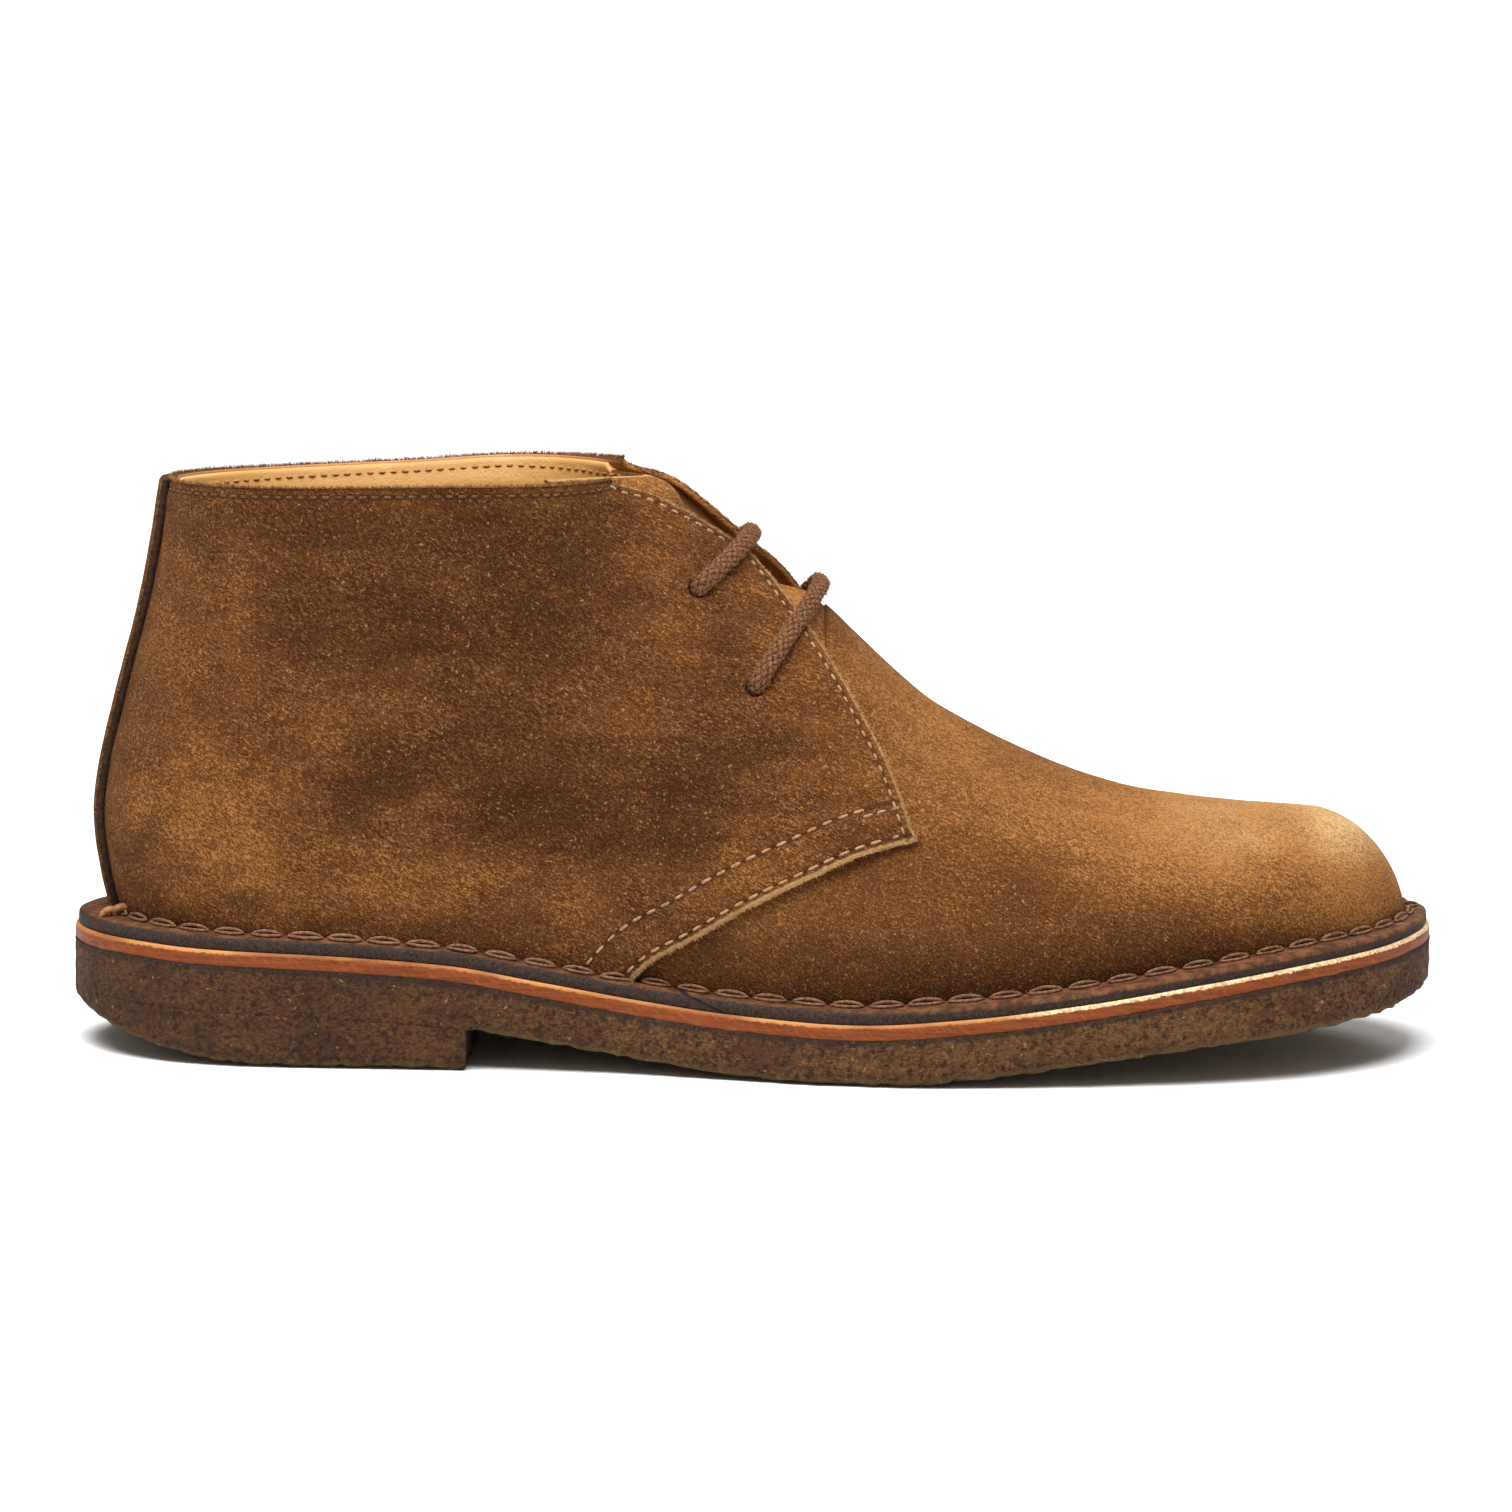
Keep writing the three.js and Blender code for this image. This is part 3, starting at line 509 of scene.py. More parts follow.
def quarter_side_grid(side, front_shares, foot_shares):
    """The x of the front boundary for each row, then the grid of the side."""
    collar = collars[side]
    edge_x = []
    for line, shares in ((front_lines[side], front_shares), (foot_line, foot_shares)):
        share = height_share(line[:, 0], line[:, 1], collar)
        order = np.argsort(share)
        edge_x.append(np.interp(shares, share[order], line[order, 0]))
    edge_x = np.concatenate(edge_x)[:, None]
    shares = np.concatenate([front_shares, foot_shares])[:, None]
    u = eased(SIDE_COLUMNS + 1)[None, :]
    z = np.full((len(shares), SIDE_COLUMNS + 1), 60.0)
    for _ in range(6):
        x = heel_x(z) + (edge_x - heel_x(z)) * u
        low = bottom_z(x)
        z = low + (collar(upper_along(x)) - low) * shares
    return form_point(side, heel_x(z) + (edge_x - heel_x(z)) * u, z)


tip_share = float(height_share(*side_mm([QUARTER_TIP])[0], collar_outer))
front_shares = 1 - (1 - tip_share) * (0.6 * np.linspace(0, 1, FRONT_ROWS) + 0.4 * eased(FRONT_ROWS))
ease = np.linspace(0, 1, FOOT_ROWS + 1)[1:]
foot_shares = tip_share * (1 - (0.7 * ease + 0.3 * ease ** 2))
outer_side = quarter_side_grid(-1, front_shares, foot_shares)
inner_side = quarter_side_grid(1, front_shares, foot_shares)
quarter_base = np.concatenate([outer_side[:, ::-1], inner_side[:, 1:]], axis=1)
quarter_normal = outward_normals(quarter_base, 60, 20, 1)
edge_lines = {}
for side in (-1, 1):
    front = front_lines[side]
    on = front[:, 1] <= collars[side](upper_along(front[:, 0])) + 0.2
    edge_lines[side] = surface_point(side, front[on, 0], front[on, 1], QUARTER_STEP)[0]
    edge_lines[side, "foot"] = surface_point(side, foot_line[:, 0], foot_line[:, 1], QUARTER_STEP)[0]
outer_surface = quarter_base + quarter_normal * QUARTER_STEP
front_gap = np.minimum(*[distance_to(outer_surface, edge_lines[side]) for side in (-1, 1)])
foot_gap = np.minimum(*[distance_to(outer_surface, edge_lines[side, "foot"]) for side in (-1, 1)])
top_gap = distance_to(outer_surface, outer_surface[0])
edge_gap = np.minimum(np.minimum(front_gap, foot_gap), top_gap)

# Soft troughs and ridges: side, from and to in the side view, half width, depth
CREASES = [
    (-1, (-98, 60), (-58, 66), 9, 0.55), (-1, (-112, 84), (-80, 92), 8, 0.35),
    (-1, (-66, 46), (-30, 58), 8, 0.5), (-1, (-48, 78), (-20, 92), 10, 0.45),
    (-1, (-40, 34), (-6, 46), 7, -0.4), (-1, (-86, 100), (-50, 106), 7, 0.3),
    (-1, (44, 30), (62, 50), 9, 0.5), (-1, (60, 24), (78, 42), 8, 0.4),
    (-1, (30, 60), (42, 72), 7, 0.35), (1, (-98, 60), (-56, 68), 9, 0.5),
    (1, (-60, 50), (-28, 62), 8, 0.5), (1, (42, 30), (60, 52), 9, 0.5),
    (1, (60, 26), (80, 42), 8, 0.4), (1, (-46, 80), (-18, 94), 9, 0.4),
]


def relief(points):
    """Depth of the listed creases and a slight unevenness of the hide."""
    total = np.zeros(points.shape[:-1])
    side = np.where(points[..., 1] < middle_line(upper_along(points[..., 0])), -1, 1)
    flat = points[..., [0, 2]]
    for place, start, end, width, depth in CREASES:
        a, b = np.array(start, float), np.array(end, float)
        along = ((flat - a) @ (b - a)) / ((b - a) @ (b - a))
        near = a + np.clip(along, 0, 1)[..., None] * (b - a)
        gap = np.linalg.norm(flat - near, axis=-1)
        fade = smooth(1.2 - np.abs(along - 0.5))
        total -= depth * bell(gap, width) * fade * (side == place)
    return total + 0.22 * fractal(points, 24.0, 3.0, 2) + 0.05 * fractal(points, 5.0, 8.0, 2)


# Darker and lighter areas of the nap on the upper: centre, half sizes, tilt in degrees, strength
NAP = [
    (-1, (-72, 92), (26, 10), 6, -0.55), (-1, (-42, 100), (16, 9), -20, -0.5),
    (-1, (-80, 62), (20, 8), 40, -0.75), (-1, (-52, 62), (18, 12), 30, -0.8),
    (-1, (-30, 52), (22, 11), 20, -0.6), (-1, (-8, 62), (14, 18), -15, -0.35),
    (-1, (-115, 54), (14, 16), 10, 0.75), (-1, (-100, 40), (22, 9), 0, 0.45),
    (-1, (-62, 42), (16, 7), 20, 0.35), (-1, (-42, 36), (28, 9), 6, 0.4),
    (-1, (-24, 84), (12, 12), 0, 0.25), (-1, (-70, 78), (22, 6), 10, 0.3),
    (-1, (-112, 98), (12, 14), 0, 0.2), (-1, (-84, 113), (46, 9), -2, -0.3),
    (-1, (-82, 39), (20, 9), 0, 0.3), (-1, (113, 34), (20, 8), -10, 0.5),
    (-1, (0, 44), (16, 8), 25, 0.35), (-1, (46, 40), (22, 12), -25, -0.25),
    (-1, (38, 24), (30, 8), 0, -0.3), (-1, (96, 26), (26, 8), 15, -0.15),
    (-1, (70, 52), (20, 7), -15, 0.4), (-1, (34, 78), (10, 16), 40, 0.45),
    (1, (-70, 60), (26, 18), 20, -0.6), (1, (-110, 60), (16, 20), 0, 0.5),
    (1, (50, 40), (22, 16), 0, -0.3), (1, (-30, 90), (20, 14), 0, -0.3),
]


def nap_and_light_tone(points):
    """Tone of the nap at each point: clouds and the areas above, then painted shade in dark bands along
    the foot and painted light on the vamp's top and the toe.
    """
    total = 0.2 * fractal(points, 30.0, 11.0, 3)
    x, y, z = np.moveaxis(points, -1, 0)
    side = np.where(y < middle_line(upper_along(x)) + 8, -1, 1)
    for place, centre, size, tilt, strength in NAP:
        angle = math.radians(tilt)
        dx, dz = x - centre[0], z - centre[1]
        across = (dx * math.cos(angle) + dz * math.sin(angle)) / size[0]
        up = (-dx * math.sin(angle) + dz * math.cos(angle)) / size[1]
        total += strength * np.exp(-(across ** 2 + up ** 2)) * (side == place)
    # Painted shade, partly the nap's own tone: darker bands just above the welt, where the upper meets it
    over = z - welt_top(x)
    total -= 0.6 * (bell(over, 11.0) * smooth((x + 25) / 20)) * (1 - 0.85 * smooth((x - 84) / 30))
    total -= 0.45 * bell(over, 4.5)
    # Painted light: the vamp's top and the toe grow paler, as if lit from above
    total += 0.3 * smooth((x - 18) / 24) * smooth((over - 18) / 26)
    total += 1.1 * smooth((x - 56) / 50) * smooth((over - 9) / 15)
    total += 0.95 * smooth((x - 112) / 20)
    return np.clip(total, -1.2, 2.4)


# The inner facing stands up over the throat, to the height of the ridge
throat_end = REAR + THROAT_END * UPPER_LENGTH
base_x = quarter_base[..., 0]
rise_to = np.clip(ridge_z(base_x) - 1.2 - quarter_base[..., 2], 0, 5.0)
rise_to *= bell(front_gap, 9.0) * smooth((throat_end - base_x) / 12)
rise_to *= smooth((base_x - REAR - 0.39 * UPPER_LENGTH) / 8)
rise_to[:, :SIDE_COLUMNS + 20] = 0
quarter_base[..., 2] += rise_to

# Quarters: one sheet of suede round the heel, with rounded cut edges lifted off the vamp
from_tip = front_gap + foot_gap
both_gap = np.minimum(front_gap, foot_gap)
lift = 0.5 * bell(front_gap, 6.0) * smooth(top_gap / 8) + 0.45 * bell(foot_gap, 5.0)
lift = lift * smooth((from_tip - 1.0) / 14) - 0.5 * bell(from_tip, 4.0)
pad = 0.3 * bell(edge_gap - 4.6, 2.2)
roll_off = 0.3 * rim(edge_gap, 0.6)
groove = 0.16 * bell(both_gap - FACING_STITCH_IN, 0.5)
quarter_relief = relief(quarter_base) * smooth(edge_gap / 12)
quarter_out = quarter_base + quarter_normal * (
    QUARTER_STEP + quarter_relief + lift + pad - roll_off - groove)[..., None]
quarter_in = quarter_base + quarter_normal * (
    0.12 + np.minimum(quarter_relief, 0) * 0.3 + lift * 0.7)[..., None]
quarters = shell_object(
    "quarters", quarter_out, quarter_in,
    attributes={"nap_and_light": nap_and_light_tone(quarter_base), "front_gap": front_gap, "foot_gap": foot_gap,
                "top_gap": top_gap})

# Lining of the shaft, folded leather up to the collar
lining_keep = np.ones((FRONT_ROWS + FOOT_ROWS - 1, 2 * SIDE_COLUMNS), bool)
lining_keep[:, :LINING_SET_BACK] = False
lining_keep[:, -LINING_SET_BACK:] = False
lining_drop = np.zeros_like(quarter_base)
lining_drop[..., 2] = -0.5 * np.exp(-top_gap / 2.0)
lining_out = quarter_base + lining_drop + quarter_normal * 0.02
roll_in = 1.7 * smooth(top_gap / 7.0) * smooth((34 - top_gap) / 24)
fold = 0.5 * rim(top_gap, 1.4)
lining_in = quarter_base + lining_drop + quarter_normal * (
    -1.25 - roll_in + fold + 0.4 * np.minimum(quarter_relief, 0))[..., None]
lining = shell_object("lining", lining_out, lining_in, lining_keep, {"top_gap": top_gap})

# Vamp: toe, forefoot and the part under the quarters
vamp_x = REAR + UPPER_LENGTH * VAMP_FROM
vamp_x = vamp_x + (TIP - 0.02 - vamp_x) * np.sin(np.pi / 2 * np.linspace(0, 1, VAMP_COLUMNS))
grid_x, grid_w = np.meshgrid(vamp_x, np.linspace(-1, 1, VAMP_ROWS))
vamp_low = bottom_z(grid_x)
vamp_rise = np.maximum(ridge_z(grid_x), vamp_low + 0.01) - vamp_low
vamp_z = vamp_low + vamp_rise * np.cos(np.pi / 2 * np.abs(grid_w))
vamp_halves = [form_point(side, grid_x, vamp_z) for side in (-1, 1)]
vamp_base = np.where(grid_w[..., None] < 0, *vamp_halves)
vamp_normal = outward_normals(vamp_base, 20, 100, 1)
foot_height = np.interp(grid_x, foot_line[::-1, 0], foot_line[::-1, 1])
hidden = (upper_along(grid_x) < TONGUE_FOOT) & (vamp_z > foot_height + 9)
vamp_keep = ~(hidden[:-1, :-1] | hidden[1:, :-1] | hidden[:-1, 1:] | hidden[1:, 1:])
seam_gap = np.abs(grid_x - (REAR + UPPER_LENGTH * TONGUE_FOOT))
vamp_roll = 0.5 * rim(seam_gap, 0.9) * (vamp_z > foot_height + 9)
foot_to_vamp = distance_to(vamp_base, np.concatenate([edge_lines[s, "foot"] for s in (-1, 1)]))
vamp_relief = relief(vamp_base) * smooth((TIP - grid_x) / 20)
vamp_out = vamp_base + vamp_normal * (vamp_relief - vamp_roll)[..., None]
vamp_in = vamp_base - vamp_normal * (VAMP_WALL - 0.1)
vamp = shell_object("vamp", vamp_out, vamp_in, vamp_keep,
                    attributes={"nap_and_light": nap_and_light_tone(vamp_base), "shade_gap": foot_to_vamp})

# Tongue: from under the lower lace up to just over the collar, below the facings
tongue_top = collar_outer(0.42) + TONGUE_PROUD
tongue_levels = np.linspace(0.52 * COLLAR_HEIGHT, tongue_top, TONGUE_ROWS)[::-1]
ridge_x_table = np.linspace(REAR + 0.3 * UPPER_LENGTH, TIP - 30, 900)
ridge_at = np.interp(tongue_levels, ridge_z(ridge_x_table)[::-1], ridge_x_table[::-1])
foot_x = REAR + UPPER_LENGTH * (TONGUE_FOOT + 0.012)
tongue_front = np.minimum(ridge_at, foot_x)
tongue_halves = []
for side in (-1, 1):
    front = front_lines[side]
    order = np.argsort(front[:, 1])
    edge_at = np.interp(tongue_levels, front[order, 1], front[order, 0])
    start = edge_at - 11.0
    reach = np.sin(np.pi / 2 * np.linspace(0, 1, TONGUE_HALF))[None, :]
    x = start[:, None] + (np.maximum(tongue_front, start + 0.1)[:, None] - start[:, None]) * reach
    tongue_halves.append(form_point(side, x, tongue_levels[:, None]))
tongue_base = np.concatenate([tongue_halves[0], tongue_halves[1][:, ::-1]], axis=1)
left, right = TONGUE_HALF - 1, TONGUE_HALF
joined = np.abs(tongue_base[:, left, 1] - tongue_base[:, right, 1]) < 0.5
tongue_keep = np.ones((TONGUE_ROWS - 1, 2 * TONGUE_HALF - 1), bool)
tongue_keep[:, left] = joined[:-1] & joined[1:]
tongue_normal = outward_normals(tongue_base, 40, 20, 1)
tongue_normal[:, left] = tongue_normal[:, left - 2]
tongue_normal[:, right] = tongue_normal[:, right + 2]
mean = tongue_normal[:, left] + tongue_normal[:, right]
mean /= np.linalg.norm(mean, axis=1, keepdims=True)
for middle in (left, right):
    tongue_normal[:, middle] = np.where(joined[:, None], mean, tongue_normal[:, middle])
top_fall = tongue_top - tongue_base[..., 2]
tongue_offset = -0.3 - 0.35 * smooth((tongue_base[..., 0] - foot_x + 8) / 6)
sink = smooth((throat_end + 1 - tongue_base[..., 0]) / 10) * smooth((top_fall - 1.5) / 7)
tongue_offset = tongue_offset - TONGUE_SINK * sink - 0.45 * rim(top_fall, 0.9)
tongue_offset = tongue_offset + 0.12 * fractal(tongue_base, 14.0, 5.0, 2)
tongue_out = tongue_base + tongue_normal * tongue_offset[..., None]
tongue_in = tongue_base - tongue_normal * (VAMP_WALL + 0.2 + TONGUE_SINK * sink)[..., None]
# Painted light: the tongue's tone is raised by 0.35, as if its upward face caught more light
tongue = shell_object("tongue_sheet", tongue_out, tongue_in, tongue_keep,
                      attributes={"nap_and_light": nap_and_light_tone(tongue_base) + 0.35, "top_gap": top_fall})

# Backstay: strip of suede over the heel seam, with dark cut sides
stay_half = BACKSTAY_WIDTH / 2
stay_y = stay_half * np.sin(np.pi / 2 * np.linspace(-1, 1, STRIP_COLUMNS))
stay_y = np.concatenate([[-stay_half - 0.001], stay_y[1:-1], [stay_half + 0.001]])
stay_low = float(welt_top(REAR)) + 0.35
stay_levels = np.linspace(float(collar_outer(0.0)) - 0.1, stay_low, STRIP_ROWS)
rear_u = np.linspace(0, 1, 260) ** 2
stay_base = np.zeros((STRIP_ROWS, STRIP_COLUMNS, 3))
for i, level in enumerate(stay_levels):
    left, right = (form_point(side, float(heel_x(level)) + 26 * rear_u, level) for side in (-1, 1))
    ring = np.concatenate([left[::-1], right[1:]])
    stay_base[i] = read_at(stay_y, ring[:, 1], ring)
stay_normal = outward_normals(stay_base, 60, 20, 0)
stay_side = stay_half - np.abs(stay_base[..., 1])
stay_top = float(collar_outer(0.0)) - stay_base[..., 2]
stay_round = 0.35 * rim(np.minimum(stay_side, stay_top), 0.7)
stay_out = stay_base + stay_normal * (
    QUARTER_STEP + CLEARANCE + 1.9 - stay_round + 0.12 * fractal(stay_base, 9.0, 2.0, 2))[..., None]
stay_in = stay_base + stay_normal * (QUARTER_STEP + 0.1)
backstay = shell_object("heel_strip", stay_out, stay_in,
                        attributes={"nap_and_light": nap_and_light_tone(stay_base), "side_gap": stay_side})


# Sole layers: rings round the plan, each with an inset and a height
def ring_halves(x, drawn_x, inset, height):
    """Both sides of the plan at x, drawn in by the inset; the outer side comes first."""
    middle = plan_middle(sole_along(x))
    halves = []
    for side in (-1, 1):
        away = side * (sole_edge(x, side) - middle)
        drawn = np.where(away > 1e-9, np.maximum(away - inset, away * 0.2), 0)
        halves.append(np.stack([drawn_x, middle + side * drawn, height(drawn_x)], 1))
    return halves


def plan_ring(inset, height):
    x = SOLE_LENGTH * (eased(PLAN_STEPS + 1) - 0.5)
    outer, inner = ring_halves(x, x * (1 - 2 * inset / SOLE_LENGTH), inset, height)
    return np.concatenate([outer, inner[-2:0:-1]])


def slab_object(name, rings, attributes):
    """Closed slab from rings bottom to top; its ends join a ring's points across the middle line."""
    points = np.stack(rings)
    levels, size = points.shape[:2]
    index = np.arange(levels * size).reshape(levels, size)
    following = np.roll(index, -1, axis=1)
    walls = np.stack([index[:-1], following[:-1], following[1:], index[1:]], -1).reshape(-1, 4)
    faces = walls.tolist()
    for i in range(size // 2):
        bottom = list(dict.fromkeys([i, i + 1, size - i - 1, (size - i) % size]))
        if len(bottom) > 2:
            faces.append(bottom[::-1])
            faces.append([(levels - 1) * size + k for k in bottom])
    return make_object(name, points.reshape(-1, 3), faces, None, attributes)


def roughen(points, centre_y, depth, size, seed):
    """Pushes wall points in and out of the plan by noise."""
    shift = fractal(points, size, seed, 4) * depth
    out = points - np.stack([points[..., 0] * 0.6, centre_y, points[..., 2]], -1)
    out[..., 2] = 0
    return points + unit(out) * shift[..., None]


# Crepe sole. The wall is rough, and nibbled along the edge that treads
breast_x = -SOLE_LENGTH / 2 + HEEL_BREAST


def crepe_wall(ring, rise):
    """Roughens a ring; rise is each point's height over the edge that treads."""
    centre = plan_middle(sole_along(ring[:, 0]))
    inset = ring.copy()
    reach = ring[:, 1] - centre
    shrink = CREPE_EDGE_RADIUS * 0.75 * np.maximum(0, 1 - rise / 2.6) ** 2
    inset[:, 1] -= np.sign(reach) * np.minimum(shrink, np.abs(reach) * 0.5)
    inset[:, 0] *= 1 - 2 * shrink / SOLE_LENGTH * (np.abs(ring[:, 0]) > 100)
    rough = roughen(inset, centre, 0.2, 3.2, 21.0)
    nibbled = roughen(rough, centre, 0.75, 2.0, 27.0)
    near = np.maximum(0, 1 - rise / 3.4)[:, None]
    return rough + (nibbled - rough) * near


def nibble(ring, rise):
    """Lifts the lowest millimetres of a wall unevenly, as a worn crepe edge is."""
    ragged = np.abs(fractal(ring * np.array([1, 1, 0.3]), 2.4, 31.0, 3))
    ring[:, 2] += 1.1 * ragged * np.maximum(0, 1 - rise / 3.5)
    return ring


def crepe_object(name, ring_at, tread, low, top, rise_of, gap):
    """A crepe wall from the tread up; drop and low tell the finish how far its edges are."""
    rings, rises = [tread], [np.zeros(len(tread))]
    for t in np.linspace(0, 1, CREPE_LEVELS):
        ring = ring_at(0.15, lambda x: low(x) + t * (top(x) - low(x)) + gap * (t == 1))
        rises.append(rise_of(ring, t))
        rings.append(nibble(crepe_wall(ring, rises[-1]), rises[-1]))
    drops = [crepe_top(ring[:, 0]) - ring[:, 2] for ring in rings]
    return slab_object(name, rings, {"drop": np.stack(drops), "low": np.stack(rises)})


def crepe_low(x):
    return np.maximum(0, crepe_underside(x))


def crepe_rise(ring, t):
    return t * CREPE_THICKNESS + 14 * smooth((breast_x + 1 - ring[:, 0]) / 2)


outsole = crepe_object("crepe_sole", plan_ring, plan_ring(4.0, crepe_low), crepe_low, crepe_top,
                       crepe_rise, CLEARANCE)


# Heel block with its straight breast and the bevel behind
def heel_bevel(x):
    t = np.maximum(0, 1 - (x + SOLE_LENGTH / 2) / HEEL_BEVEL_LENGTH)
    return np.minimum(HEEL_BEVEL_HEIGHT * t * t, np.maximum(0, crepe_underside(x) - 3.5))


def heel_top(x):
    return np.maximum(crepe_underside(x) + 0.15, heel_bevel(x) + 2.2)


def heel_rise(ring, t):
    return ring[:, 2] - heel_bevel(ring[:, 0])


def heel_ring(inset, height):
    share = np.sin(np.pi / 2 * np.linspace(0, 1, HEEL_STEPS + 1)) ** 2
    x = -SOLE_LENGTH / 2 + (breast_x - inset * 0.25 + SOLE_LENGTH / 2) * share
    drawn_x = np.where(x < -100, x * (1 - 2 * inset / SOLE_LENGTH), x)
    outer, inner = ring_halves(x, drawn_x, inset, height)
    t = np.linspace(0, 1, BREAST_STEPS + 2)[1:-1, None]
    breast = outer[-1] + (inner[-1] - outer[-1]) * t
    return np.concatenate([outer, breast, inner[:0:-1]])


tread = heel_ring(4.0, heel_bevel)
tread[:, 0] = np.minimum(tread[:, 0], breast_x - 2.0)
heel = crepe_object("crepe_heel", heel_ring, tread, heel_bevel, heel_top, heel_rise, 0.0)

# Leather midsole with a softly rounded edge
mid_rings = []
mid_levels = np.linspace(0, 1, MIDSOLE_LEVELS)
for t in mid_levels:
    inset = 0.25 + (0.4 if t > 0.5 else 0.12) * (2 * t - 1) ** 4
    ring = plan_ring(inset, lambda x: midsole_bottom(x) - 0.2 + t * (MIDSOLE_THICKNESS + 0.42))
    mid_rings.append(roughen(ring, plan_middle(sole_along(ring[:, 0])), 0.09, 5.0, 51.0))
mid_rise = np.repeat(mid_levels * MIDSOLE_THICKNESS, 2 * PLAN_STEPS)
midsole = slab_object("midsole_leather", mid_rings, {"rise": mid_rise})

# Welt: a leather strip from the plan's edge to the upper's foot
foot_z = np.full(PLAN_STEPS + 1, 25.0)
for _ in range(5):
    foot_x_at = heel_x(foot_z) + (TIP - heel_x(foot_z)) * eased(PLAN_STEPS + 1)
    foot_z = welt_top(foot_x_at) + 0.2


def step_at(x):
    """How far the outside stands off the form at the welt: the quarter's step, then the vamp."""
    edge = REAR + 0.4 * UPPER_LENGTH
    return QUARTER_STEP * (1 - smooth((x - edge + 3) / 6))


def welt_inner(offset, lift):
    """The line round the upper's foot, moved out and up, and its outward directions."""
    outer, inner = (form_point(side, foot_x_at, foot_z) + (0, 0, lift) for side in (-1, 1))
    ring = np.concatenate([outer, inner[-2:0:-1]])
    ahead = np.roll(ring, -3, axis=0) - np.roll(ring, 3, axis=0)
    out = unit(np.stack([ahead[:, 1], -ahead[:, 0], np.zeros(len(ring))], 1))
    for _ in range(3):
        out = 0.25 * np.roll(out, 1, axis=0) + 0.5 * out + 0.25 * np.roll(out, -1, axis=0)
    out = unit(out)
    return ring + out * (offset + step_at(ring[:, 0]))[:, None], out


# Inset from the welt's edge and height over the seat, from the foot of the edge round to the top
WELT_EDGE = [(0.3, -0.25), (0, 0.25), (-0.05, 1.2), (0.02, 2.0), (0.25, 2.45), (0.7, 2.7), (1.6, 2.8)]
welt_profile = [plan_ring(WELT_INSET + inset, lambda x: seat(x) + rise) for inset, rise in WELT_EDGE]
welt_profile += [welt_inner(reach, lift)[0] for reach, lift in ((1.0, 0.0), (-0.5, 0.35), (-0.8, -2.6))]
welt_points = np.stack(welt_profile, axis=1)
rough_part = welt_points[:, 1:7]
welt_points[:, 1:7] = roughen(rough_part, plan_middle(sole_along(rough_part[..., 0])), 0.1, 6.0, 61.0)
loops, around = welt_points.shape[:2]
index = np.arange(loops * around).reshape(loops, around)
next_loop = np.roll(index, -1, axis=0)
welt_faces = np.stack([index, next_loop, np.roll(next_loop, -1, axis=1), np.roll(index, -1, axis=1)], -1)
toward_toe = smooth((welt_points[:, 3, 0] - 5) / 60)
welt_face = np.tile([0, 0, 0, 0.85, 1, 1, 1, 1, 1, 1], (loops, 1))
welt_face[:, 3] *= toward_toe
welt_face[:, 4] *= 0.2 + 0.8 * toward_toe
welt_face[:, 5] *= 0.55 + 0.45 * toward_toe
welt = make_object("welt_strip", welt_points.reshape(-1, 3), welt_faces.reshape(-1, 4).tolist(),
                   attributes={"top": welt_face})


# Laces: braided oval cords through the eyelets and over the throat
def lace_path(eyelet):
    """From hole to hole over the throat: places and the directions out of the leather."""
    along, height, crossing = eyelet
    low = np.array([REAR + along * UPPER_LENGTH, height * COLLAR_HEIGHT])
    top_x = REAR + crossing * UPPER_LENGTH
    top = np.array([top_x, float(ridge_z(top_x)) - 0.05])
    ride = QUARTER_STEP + CLEARANCE + LACE_THICKNESS / 2 + 0.3
    steps = [(0.0, -1.2), (0.0, 0.4), (0.012, 1.7), (0.04, 2.9)]
    steps += [(math.sin(math.pi / 2 * t), ride) for t in np.linspace(0.08, 0.975, 22)]
    rows = []
    for side, order in ((-1, steps), (1, steps[::-1])):
        rows += [surface_point(side, *(low + (top - low) * share), offset) for share, offset in order]
    return np.array([row[0] for row in rows]), np.array([row[1] for row in rows])


def soften(rows, times):
    for _ in range(times):
        rows[1:-1] = 0.25 * rows[:-2] + 0.5 * rows[1:-1] + 0.25 * rows[2:]
    return rows


def lace_object(name, eyelet):
    places, normals = (soften(rows, 2) for rows in lace_path(eyelet))
    run = run_of(places)
    at = np.linspace(0, run[-1], int(run[-1] / LACE_STEP))
    centre = soften(read_at(at, run, places), 12)
    forward = unit(np.gradient(centre, axis=0))
    across = unit(np.cross(forward, read_at(at, run, normals)))
    up = np.cross(across, forward)
    angle = 2 * np.pi * np.arange(LACE_SIDES) / LACE_SIDES
    strand = at[:, None] / BRAID_PITCH * 2 * np.pi
    turn_a = BRAID_STRANDS * angle[None, :] + strand
    turn_b = BRAID_STRANDS * angle[None, :] - strand
    over = np.maximum(np.abs(np.cos(turn_a / 2)) ** 0.7 * (np.cos(turn_b) > -0.2),
                      np.abs(np.cos(turn_b / 2)) ** 0.7 * (np.cos(turn_a) > -0.2))
    swell = 0.30 * (over - 0.6)
    half_across = (LACE_WIDTH / 2 - 0.15 + swell) * np.cos(angle)[None, :]
    half_up = (LACE_THICKNESS / 2 - 0.05 + swell) * np.sin(angle)[None, :]
    points = (centre[:, None, :] + across[:, None, :] * half_across[..., None]
              + up[:, None, :] * half_up[..., None])
    index = np.arange(len(at) * LACE_SIDES).reshape(-1, LACE_SIDES)
    side_next = np.roll(index, -1, axis=1)
    faces = np.stack([index[:-1], index[1:], side_next[1:], side_next[:-1]], -1).reshape(-1, 4).tolist()
    faces += [index[0].tolist(), index[-1][::-1].tolist()]
    return make_object(name, points.reshape(-1, 3), faces, None, {"over": over})


lace_low = lace_object("lace_bar_lower", EYELETS["lower"])
lace_high = lace_object("lace_bar_upper", EYELETS["upper"])

